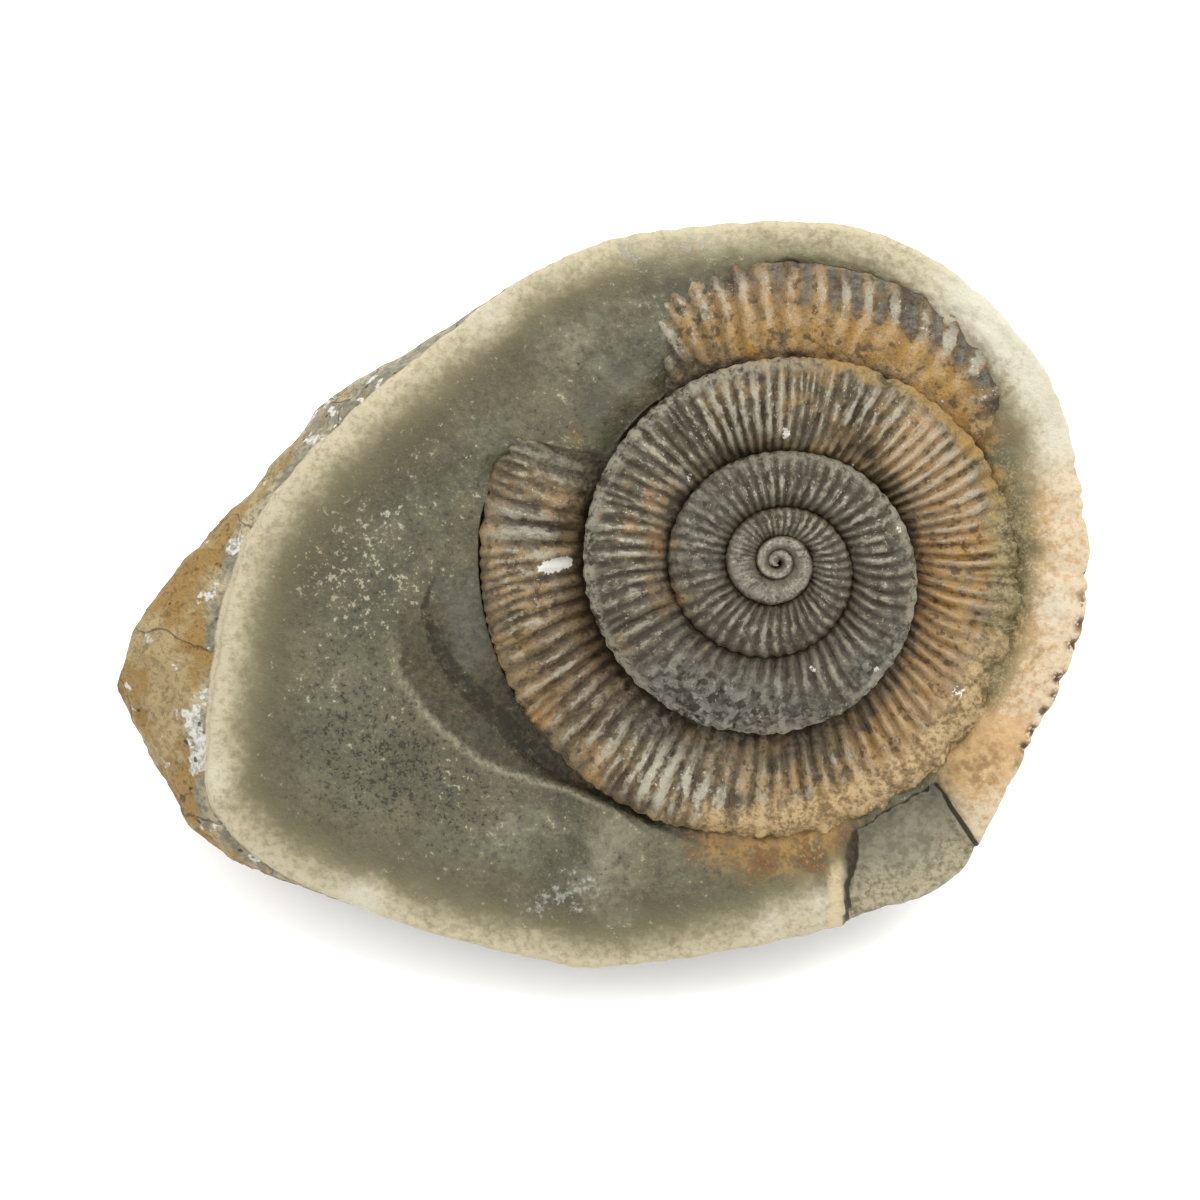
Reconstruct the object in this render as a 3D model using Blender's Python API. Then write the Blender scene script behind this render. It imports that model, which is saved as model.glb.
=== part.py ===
"""One half of a split ammonite nodule: the rock, and the coiled shell set in its fracture face.

Metres, +Z up. The half lies on the worn flat of its rounded back, with the fracture face leaning
towards -Y. The face has a frame of its own: X to the right, Y up the face and Z out of it, with
the coil's centre as the zero point. An empty leans and lifts that frame, and carries the shell.
"""

import math

import bmesh
import bpy
from mathutils import Matrix, Vector

MM = 0.001

# Driving dimensions, in millimetres where no unit is given
FACE_LEAN = math.radians(34.0)
COIL_CENTRE = (18.22, 3.01, 34.2)
BASE_CENTRE = Vector((0.12, 2.31, -2.4))
BASE_SPREAD = 0.62
EDGE_ROUNDING = 0.6
PIECE_GAP = 0.3
SHELL_EDGE_DEPTH = 1.6
SHELL_MIDDLE_DEPTH = 5.0

# How finely the pieces are divided
RAYS = 92
OUTLINE_PARTS = 20
SHELL_RINGS = 24
SHELL_RING_SPREAD = 1.15
POCKET_RINGS = 5
BACK_RINGS = 15
CREASE_ANGLE = math.radians(40.0)

# Outline of the fracture face, anticlockwise from the right
FACE_OUTLINE = [
    (33.3, 0.0), (30.5, 15.5), (25.0, 24.5), (18.1, 30.8), (9.5, 34.9), (0.0, 36.0),
    (-16.0, 34.5), (-26.5, 30.4), (-35.2, 24.0), (-45.6, 15.4), (-54.8, 5.3), (-58.9, -4.5),
    (-61.0, -16.7), (-61.3, -26.0), (-56.0, -33.2), (-46.3, -38.1), (-33.0, -42.5), (-20.0, -45.0),
    (-4.0, -43.0), (9.0, -39.8), (19.0, -36.0), (23.5, -28.0), (28.0, -19.0), (31.8, -10.5),
]

# Outer edge of the shell that shows: degrees anticlockwise from the right, and radius
SHELL_OUTLINE = [
    (0, 27.5), (20, 29.5), (35, 31.5), (50, 32.3), (70, 32.0), (90, 31.2), (108, 30.5), (115, 27.5),
    (122, 22.5), (132, 21.5), (143, 21.6), (151, 24.5), (157, 30.0), (165, 32.0), (180, 32.0),
    (225, 31.8), (270, 30.8), (315, 28.7),
]

# How far the side is drawn outwards below the face, by direction seen from above
SIDE_FLARE = [
    (0, -3.0), (45, 5.0), (90, 6.0), (135, 16.0), (165, 14.0), (178, 17.0), (187, 27.0),
    (194, 30.0), (202, 15.0), (210, 4.0), (219, -3.0), (230, -2.0), (245, -1.0), (325, -4.0),
]

# Where the side's widest part lies, by direction: share of the edge's height that it is below the edge
SIDE_DROP = [
    (0, 0.5), (90, 0.4), (120, 0.45), (150, 0.27), (175, 0.35), (200, 0.55), (230, 0.4), (270, 0.5),
]

# Crescent groove left of the shell: first and last direction, width at its middle, depth
GROOVE_FROM = 178.0
GROOVE_TO = 248.0
GROOVE_WIDTH = 9.0
GROOVE_DEPTH = 1.6
GROOVE_LIP_SHARE = 0.15

# Broken chip at the lower right of the face: first and last direction, depth
CHIP_FROM = 282.0
CHIP_TO = 305.0
CHIP_DEPTH = 1.8

# The coil: natural logarithm of the whorl's outer radius in mm against turns, clockwise from the top
COIL_START = 1.025
COIL_GROWTH = 0.917
COIL_SLOWING = 0.072
COIL_OFFSET_UP = 0.0995
COIL_OFFSET_RIGHT = 0.034
COIL_TURNS = 4
WHORL_BASE = 0.4
WHORL_CRESTS = [1.9, 2.2, 2.6, 3.1, 2.9]


def turn_vector(degrees):
    """Unit vector in the face, anticlockwise from the right."""
    angle = math.radians(degrees)
    return Vector((math.cos(angle), math.sin(angle)))


def direction_of(point):
    """Direction of a point of the face in degrees from 0 to 360."""
    return math.degrees(math.atan2(point[1], point[0])) % 360.0


def smooth_between(before, start, end, after, step):
    """Catmull-Rom value between start and end."""
    slope_in = (end - before) / 2
    slope_out = (after - start) / 2
    return (
        (2 * step**3 - 3 * step**2 + 1) * start
        + (step**3 - 2 * step**2 + step) * slope_in
        + (3 * step**2 - 2 * step**3) * end
        + (step**3 - step**2) * slope_out
    )


def even_points_on(outline, count):
    """Evenly spaced points on the smooth closed curve through an outline."""
    corners = [Vector(point) for point in outline]
    fine = []
    for index in range(len(corners)):
        around = [corners[(index + shift) % len(corners)] for shift in (-1, 0, 1, 2)]
        fine += [smooth_between(*around, part / OUTLINE_PARTS) for part in range(OUTLINE_PARTS)]
    fine.append(fine[0])
    lengths = [0.0]
    for start, end in zip(fine, fine[1:]):
        lengths.append(lengths[-1] + (end - start).length)
    points = []
    piece = 0
    for index in range(count):
        wanted = lengths[-1] * index / count
        while lengths[piece + 1] < wanted:
            piece += 1
        share = (wanted - lengths[piece]) / (lengths[piece + 1] - lengths[piece])
        points.append(fine[piece].lerp(fine[piece + 1], share))
    return points


def in_direction(table, degrees):
    """Value for one direction from the rows of a table that runs round the circle."""
    after = next((i for i in range(len(table)) if table[i][0] > degrees), len(table))
    start, end = table[after - 1], table[after % len(table)]
    step = ((degrees - start[0]) % 360) / ((end[0] - start[0]) % 360)
    return start[1] + (end[1] - start[1]) * step


def shell_radius(degrees):
    """Outer radius of the shell that shows, in one direction."""
    return in_direction(SHELL_OUTLINE, degrees)


def whorl_edge(turns):
    """Outer radius of the coil after a number of turns clockwise from the top."""
    angle = 2 * math.pi * turns
    size = COIL_START + COIL_GROWTH * turns - COIL_SLOWING * turns**2
    return math.exp(size - COIL_OFFSET_UP * math.cos(angle) - COIL_OFFSET_RIGHT * math.sin(angle))


def shell_height(point):
    """Height of the coiled shell above the face at a point."""
    radius = point.length
    part_turn = ((90.0 - direction_of(point)) % 360) / 360
    outer = whorl_edge(part_turn - 1)
    if radius < outer:
        across, crest = (1 + radius / outer) / 2, WHORL_CRESTS[0]
    else:
        turn = 0
        while radius > whorl_edge(turn + part_turn) and turn < COIL_TURNS:
            turn += 1
        inner, outer = whorl_edge(turn - 1 + part_turn), whorl_edge(turn + part_turn)
        across, crest = min(1.0, (radius - inner) / (outer - inner)), WHORL_CRESTS[turn]
    return WHORL_BASE + (crest - WHORL_BASE) * math.sin(math.pi * across) ** 2


def groove_share(degrees):
    """How strongly the crescent groove shows in one direction, from 0 to 1."""
    if not GROOVE_FROM < degrees < GROOVE_TO:
        return 0.0
    return math.sin(math.pi * (degrees - GROOVE_FROM) / (GROOVE_TO - GROOVE_FROM))


def chip_height(degrees):
    """Height of the broken chip in one direction of the face."""
    return -CHIP_DEPTH if CHIP_FROM < degrees < CHIP_TO else 0.0


def back_point(edge, share):
    """Point of the rounded back, from the face's edge (share 0) to the base's centre (share 1)."""
    outward = (edge - BASE_CENTRE) * Vector((1, 1, 0))
    flare = in_direction(SIDE_FLARE, direction_of(outward))
    drop = edge.z * in_direction(SIDE_DROP, direction_of(outward))
    side = edge + outward.normalized() * flare - Vector((0, 0, drop))
    under = BASE_CENTRE + outward * BASE_SPREAD
    rest = 1 - share
    return (
        edge * rest**3 + side * 3 * rest**2 * share + under * 3 * rest * share**2 + BASE_CENTRE * share**3
    )


def join_rings(mesh, inner, outer):
    """Skin the gap between two rings of vertices, facing away from the first ring's inside."""
    count = len(inner)
    for index in range(count):
        nxt = (index + 1) % count
        mesh.faces.new((inner[index], outer[index], outer[nxt], inner[nxt]))


def close_fan(mesh, middle, ring, flip):
    """Close a ring of vertices with triangles around one vertex."""
    count = len(ring)
    for index in range(count):
        nxt = (index + 1) % count
        corners = (middle, ring[nxt], ring[index]) if flip else (middle, ring[index], ring[nxt])
        mesh.faces.new(corners)


def ring_of(mesh, points):
    """New vertices at points given in millimetres."""
    return [mesh.verts.new(point * MM) for point in points]


def plain_material(name, colour, roughness):
    """Principled material with one colour and roughness."""
    material = bpy.data.materials.new(name)
    material.use_nodes = True
    shader = material.node_tree.nodes["Principled BSDF"]
    shader.inputs["Base Color"].default_value = (*colour, 1.0)
    shader.inputs["Roughness"].default_value = roughness
    shader.inputs["Metallic"].default_value = 0.0
    return material


def add_piece(name, mesh, material):
    """Turn a finished mesh into a smooth shaded object."""
    bmesh.ops.recalc_face_normals(mesh, faces=mesh.faces)
    data = bpy.data.meshes.new(name)
    mesh.to_mesh(data)
    mesh.free()
    data.materials.append(material)
    data.shade_smooth()
    data.set_sharp_from_angle(angle=CREASE_ANGLE)
    piece = bpy.data.objects.new(name, data)
    bpy.context.collection.objects.link(piece)
    return piece


def skin(rings, first, last):
    """Closed mesh over a stack of rings of points, with one point closing each end."""
    mesh = bmesh.new()
    start = mesh.verts.new(first * MM)
    end = mesh.verts.new(last * MM)
    loops = [ring_of(mesh, points) for points in rings]
    close_fan(mesh, start, loops[0], flip=False)
    for inner, outer in zip(loops, loops[1:]):
        join_rings(mesh, inner, outer)
    close_fan(mesh, end, loops[-1], flip=True)
    return mesh


def underside_point(degrees, share, gap):
    """Point of the shell's underside, or of the pocket's floor where a gap is given."""
    spot = turn_vector(degrees) * (shell_radius(degrees) * share + gap)
    depth = SHELL_MIDDLE_DEPTH + (SHELL_EDGE_DEPTH - SHELL_MIDDLE_DEPTH) * share**2
    return Vector((spot.x, spot.y, -depth - gap))


def build_shell(edge_points, face):
    """The coiled shell: ridged whorls on top, and a lens that fits the pocket below."""
    directions = [direction_of(point) for point in edge_points]
    rings = []
    for number in range(1, SHELL_RINGS + 1):
        share = (number / SHELL_RINGS) ** SHELL_RING_SPREAD
        spots = [turn_vector(degrees) * shell_radius(degrees) * share for degrees in directions]
        rings.append([Vector((spot.x, spot.y, shell_height(spot))) for spot in spots])
    for number in range(POCKET_RINGS):
        share = 1 - number / POCKET_RINGS
        rings.append([underside_point(degrees, share, 0.0) for degrees in directions])
    mesh = skin(rings, Vector((0, 0, WHORL_CRESTS[0])), Vector((0, 0, -SHELL_MIDDLE_DEPTH)))
    shell = add_piece("ammonite", mesh, plain_material("shell_brown", (0.16, 0.115, 0.075), 0.55))
    shell.parent = face


def face_line(edge):
    """Points of the fracture face along one ray, from the pocket's edge out to the outline."""
    degrees = direction_of(edge)
    start = shell_radius(degrees) + PIECE_GAP
    groove = groove_share(degrees)
    chip = chip_height(degrees)
    bottom = start + GROOVE_WIDTH * groove
    lip = bottom + (edge.length - bottom) * GROOVE_LIP_SHARE
    ends = [
        (start, -GROOVE_DEPTH * groove), (bottom, -GROOVE_DEPTH * groove), (lip, 0.0),
        ((lip + edge.length) / 2, 0.0), (edge.length - EDGE_ROUNDING, 0.0), (edge.length, -EDGE_ROUNDING),
    ]
    return [Vector((*(turn_vector(degrees) * radius), height + chip)) for radius, height in ends]


def build_rock(edge_points, to_world):
    """The rock half: pocket, fracture face with its groove and chip, and the rounded back."""
    directions = [direction_of(point) for point in edge_points]
    rings = []
    for number in range(1, POCKET_RINGS + 1):
        share = number / POCKET_RINGS
        rings.append([underside_point(degrees, share, PIECE_GAP) for degrees in directions])
    rings += list(zip(*[face_line(edge) for edge in edge_points]))
    rings = [[to_world @ point for point in ring] for ring in rings]
    outline = rings[-1]
    for number in range(1, BACK_RINGS):
        rings.append([back_point(edge, number / BACK_RINGS) for edge in outline])
    middle = to_world @ Vector((0, 0, -SHELL_MIDDLE_DEPTH - PIECE_GAP))
    mesh = skin(rings, middle, BASE_CENTRE)
    cut_flat(mesh)
    add_piece("nodule_half", mesh, plain_material("grey_limestone", (0.19, 0.18, 0.13), 0.85))


def cut_flat(mesh):
    """Cut the back off level where the half rests, and close it with one flat face."""
    parts = mesh.verts[:] + mesh.edges[:] + mesh.faces[:]
    cut = bmesh.ops.bisect_plane(
        mesh, geom=parts, dist=1e-7, plane_co=(0, 0, 0), plane_no=(0, 0, -1), clear_outer=True
    )
    rim = [item for item in cut["geom_cut"] if isinstance(item, bmesh.types.BMEdge)]
    bmesh.ops.contextual_create(mesh, geom=rim)


def main():
    for old in list(bpy.data.objects):
        bpy.data.objects.remove(old, do_unlink=True)
    face = bpy.data.objects.new("face_frame", None)
    bpy.context.collection.objects.link(face)
    face.location = Vector(COIL_CENTRE) * MM
    face.rotation_euler = (FACE_LEAN, 0.0, 0.0)
    to_world = Matrix.Translation(COIL_CENTRE) @ Matrix.Rotation(FACE_LEAN, 4, "X")
    edge_points = even_points_on(FACE_OUTLINE, RAYS)
    build_rock(edge_points, to_world)
    build_shell(edge_points, face)
    bpy.context.view_layer.update()


main()
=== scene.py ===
"""One half of a split ammonite nodule, lying on its back with the fracture face up.

The rock is one mesh and the coiled shell another. Both are laid out in the face's own frame, in
millimetres: u to the right, v up the face and w out of it, with the coil's centre as zero. The
shell is a Geometry Nodes sweep along the coil; the rock is a stack of rings around the coil.
"""

import math

import bpy
import numpy as np
from bpy.props import FloatProperty, FloatVectorProperty, IntProperty, PointerProperty
from mathutils import Color, Matrix, Vector, noise


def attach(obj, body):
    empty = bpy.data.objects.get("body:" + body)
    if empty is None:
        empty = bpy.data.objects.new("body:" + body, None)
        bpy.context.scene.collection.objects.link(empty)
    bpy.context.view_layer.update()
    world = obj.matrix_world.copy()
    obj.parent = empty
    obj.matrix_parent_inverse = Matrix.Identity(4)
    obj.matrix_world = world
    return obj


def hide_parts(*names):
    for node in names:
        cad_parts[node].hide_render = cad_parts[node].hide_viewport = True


bl_info = {
    "name": "Ammonite Nodule",
    "version": (1, 0, 0),
    "blender": (4, 5, 0),
    "location": "View3D > Sidebar > Nodule",
    "description": "Builds one half of a split ammonite nodule with its coiled shell",
    "category": "Object",
}

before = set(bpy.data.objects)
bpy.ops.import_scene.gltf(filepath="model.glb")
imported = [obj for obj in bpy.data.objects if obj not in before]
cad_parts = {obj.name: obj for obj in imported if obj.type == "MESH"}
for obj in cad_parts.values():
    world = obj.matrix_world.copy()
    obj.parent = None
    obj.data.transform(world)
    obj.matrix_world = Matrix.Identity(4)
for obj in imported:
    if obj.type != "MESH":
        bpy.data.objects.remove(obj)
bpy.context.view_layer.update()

MM = 0.001

# Noises of the stone and of the shell, from broad to fine: cycles per millimetre, detail and roughness
STONE_NOISES = ((0.3, 3, 0.62), (1.2, 2, 0.75), (3.2, 2, 0.7))
SHELL_NOISES = ((0.4, 3, 0.65), (1.5, 2, 0.75), (3.4, 2, 0.7))
FLOOR_NOISES = ((0.01,), (2.0,))

# The stage, in metres: brightness of a white face in its light, the room's light, and what it looks at.
# Each light has its place, its size and its share of the key light's power.
STAGE_LIGHT = 2.08
ROOM_LIGHT = 1.65
FLOOR_REACH = 3.0
LIT_POINT = Vector((0.0, 0.0, 0.02))
CAMERA_TARGET = Vector((-0.0009, -0.0007, 0.0317))
LIGHTS = {"key_light": ((0.25, 0.28, 0.66), 0.6, 1.0), "fill_light": ((-0.5, 0.2, 0.5), 0.7, 0.25)}

# The face's frame in the world, and the rounded back below it, in millimetres
FACE_LEAN = math.radians(34.0)
COIL_CENTRE = (18.22, 3.01, 34.2)
FACE_TO_WORLD = np.array(Matrix.Translation(COIL_CENTRE) @ Matrix.Rotation(FACE_LEAN, 4, "X"))
BASE_CENTRE = np.array((0.12, 2.31, -2.4))
BASE_SPREAD = 0.62
RIM_ROUNDING = 0.7
POCKET_MIDDLE_DEPTH = 5.3
POCKET_EDGE_DEPTH = 1.9

# How finely the rock is divided: rays round the coil, and rings outwards along each part
RAYS = 500
POCKET_RINGS = 8
WALL_RINGS = 3
FACE_RINGS = 92
RIM_RINGS = 6
SIDE_RINGS = 78

# Outline of the fracture face, anticlockwise from the right
FACE_OUTLINE = [
    (33.3, 0), (30.5, 15.5), (25, 24.5), (18.1, 30.8), (9.5, 34.9), (0, 36), (-16, 34.5), (-26.5, 30.4),
    (-35.2, 24), (-45.6, 15.4), (-54.8, 5.3), (-58.9, -4.5), (-61, -16.7), (-61.3, -26), (-56, -33.2),
    (-46.3, -38.1), (-33, -42.5), (-20, -45), (-4, -43), (9, -39.8), (19, -36), (23.5, -28), (28, -19),
    (31.8, -10.5),
]

# Width of the pale rind, by direction in degrees, as a share of its usual width
RIND_WIDTH = [
    (0, 1.1), (28, 1.1), (44, 1.5), (58, 1.35), (75, 0.9), (95, 0.7), (120, 0.75), (145, 0.85), (180, 0.9),
    (215, 0.95), (245, 0.85), (262, 0.9), (276, 1.3), (300, 1.1), (330, 1.1),
]

# How far the side is drawn outwards below the face, by direction seen from above
SIDE_FLARE = [
    (0, -3), (45, 5), (90, 6), (132, 17), (150, 19), (165, 19), (174, 23), (182, 33), (188, 37), (194, 28),
    (203, 15), (210, 8.5), (219, 1), (230, -2), (245, -1), (325, -4),
]

# Where the side's widest part lies, by direction: share of the edge's height that it is below the edge
SIDE_DROP = [
    (0, 0.5), (90, 0.4), (120, 0.45), (150, 0.27), (175, 0.35), (200, 0.55), (230, 0.4), (270, 0.5),
]

# Radius at which rock covers the last whorl, by direction, and the directions where the whorl is bare
ROCK_OVER_SHELL = [
    (0, 26), (10, 25.4), (20, 24.8), (28, 25.2), (36, 28.8), (44, 31.2), (50, 32), (70, 31.9), (90, 31.9),
    (98, 30.8), (104, 29.2), (112, 26.8), (121, 23.8), (127, 22), (143, 21.9), (150, 22.4), (152, 24.5),
    (154, 28), (157, 30.4), (160, 31.5),
]
BARE_WHORL = (160, 360)

# Where that edge is soft, by direction: there the rock dips under the shell instead of ending in a wall
SOFT_EDGE = [
    (0, 1), (121, 1), (128, 0.3), (143, 0.3), (149, 1), (158, 1), (166, 0.2), (172, 0), (233, 0),
    (243, 0.4), (252, 1), (360, 1),
]
SOFT_INSET = 2.2
SOFT_DIP = 1.6

# The coil: turns clockwise from the top, and outer radius of the whorl
WHORL_EDGE = [
    (-2.5, 0.1), (-2, 0.18), (-1.75, 0.4), (-1.5, 0.9), (-1.25, 1.35), (-1, 1.5), (-0.75, 1.6), (-0.5, 1.9),
    (-0.25, 2.45), (0, 2.75), (0.25, 3.5), (0.5, 4.6), (0.75, 5.7), (1, 5.8), (1.25, 7.6), (1.5, 10.3),
    (1.75, 11.9), (2, 11.8), (2.25, 14.5), (2.5, 18.8), (2.75, 20.9), (3, 21.7), (3.25, 26), (3.5, 30.8),
    (3.75, 32), (4, 31.8), (4.25, 32.6), (4.5, 34),
]
WHORL_EDGE_LOGS = [(turns, math.log(radius)) for turns, radius in WHORL_EDGE]

# Height of the whorl's crest above the face, by turns
WHORL_CREST = [
    (-1.5, 2.3), (-1, 2.1), (-0.4, 2.4), (0, 2.6), (1, 2.9), (1.5, 3.1), (2, 3.2), (2.5, 3.5), (2.75, 3.5),
    (2.9, 3.1), (3, 2.7), (3.12, 2), (3.25, 1), (3.4, 0.9), (3.52, 1.2), (3.62, 1.7), (3.74, 1.6),
    (3.78, 1.1), (3.8, 0.6), (3.82, 0.1), (3.85, -0.6), (3.88, -1), (3.9, -0.6), (3.925, 0.1), (3.97, 0.4),
    (4.06, 0.4), (4.1, 0.15), (4.14, -0.4), (4.2, -1.4), (4.4, -2.2),
]

# Height of the whorl's section over its width, by turns
SECTION_HEIGHT = [
    (-1.5, 0.5), (-1, 0.45), (0, 0.42), (1, 0.3), (2, 0.22), (2.9, 0.18), (3.12, 0.15), (3.22, 0.13),
    (3.4, 0.12), (3.55, 0.15), (3.78, 0.16), (3.86, 0.06), (4.4, 0.05),
]

# How many ribs lie between the start of the coil and each turn, and how many marks lie round the rim
RIB_COUNT = [
    (-1.5, 0), (0, 15), (1, 51), (1.5, 72), (2, 95), (2.6, 127), (2.75, 136), (3.1, 164), (3.35, 186),
    (3.45, 195), (3.6, 208), (3.75, 221), (3.9, 233), (4, 241), (4.4, 262),
]
RIM_MARKS = 84

# Crescent mould beside the shell, by direction: radius of its outer lip and of its inner crease, depth of
# the band between them and of the floor inside the crease, and width of the wedge of painted shade along the
# crease
CRESCENT_LIP = [
    (176, 38), (184, 39.6), (190, 41.7), (197, 42.7), (204, 41.4), (215, 38.7), (222, 35.9), (228, 33.9),
    (237, 32.6), (243, 33.1), (252, 34.2),
]
CRESCENT_CREASE = [
    (176, 35), (183, 37), (188, 38.7), (196, 38.4), (204, 37.1), (211.5, 35.7), (217.5, 35.1), (222, 34.5),
    (226, 33.9), (231, 32.6), (240, 32.1), (252, 32.4),
]
BAND_DEPTH = [(177, 0), (185, 0.35), (195, 0.9), (206, 1.4), (216, 1.6), (228, 1.4), (240, 0.8), (252, 0)]
MOULD_DEPTH = [
    (170, 0), (180, 0.3), (192, 0.35), (200, 0.7), (208, 1.5), (218, 1.9), (232, 1.5), (242, 0.9), (252, 0),
]
WEDGE_WIDTH = [(186, 0.5), (192, 1.2), (205, 2.3), (216, 2), (226, 1)]

# Lumps of the face: height, size, noise seed and octaves. Lumps of the crust have a share of its relief as
# their height, and last the distance below the rim over which they rise.
FACE_LUMPS = [(0.5, 17, 1, 2), (0.13, 3.5, 2, 3), (0.05, 1.2, 3, 3)]
CRUST_LUMPS = [(0.9, 16, 5, 2, 9), (0.28, 5, 6, 3, 9), (0.14, 1.6, 7, 3, 1.5)]

# Sectors of the right side: middle direction, and degrees from it where each is full and where it ends
SECTORS = {
    "face marks": (-15, 26, 44), "crust marks": (5, 40, 70), "rim notches": (-12, 25, 45),
    "peach rind": (-18, 24, 50), "smeared stone": (-8, 36, 52),
}

# Chip out of the rim at the lower right: its two upper corners, its right corner and its depth
CHIP_LEFT = (7.2, -30.6)
CHIP_TOP = (17.4, -24.4)
CHIP_RIGHT = (22.6, -32.8)
CHIP_DEPTH = 2.6

# Holes in the shell and in the stone beside it: u, v, size and depth
STONE_HOLES = [(20.8, -7, 0.8, 1.2), (22.2, -7.6, 0.8, 0.9)]
SHELL_HOLES = [
    (7, 12.9, 1.5, 1.1), (9.4, 11.4, 1.2, 1), (5.4, 14, 0.9, 0.6), *STONE_HOLES, (-17, -12.2, 1.6, 0.8),
    (-14.2, -15, 1.6, 0.8), (-19.5, -8.6, 1.3, 0.6),
]

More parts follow.
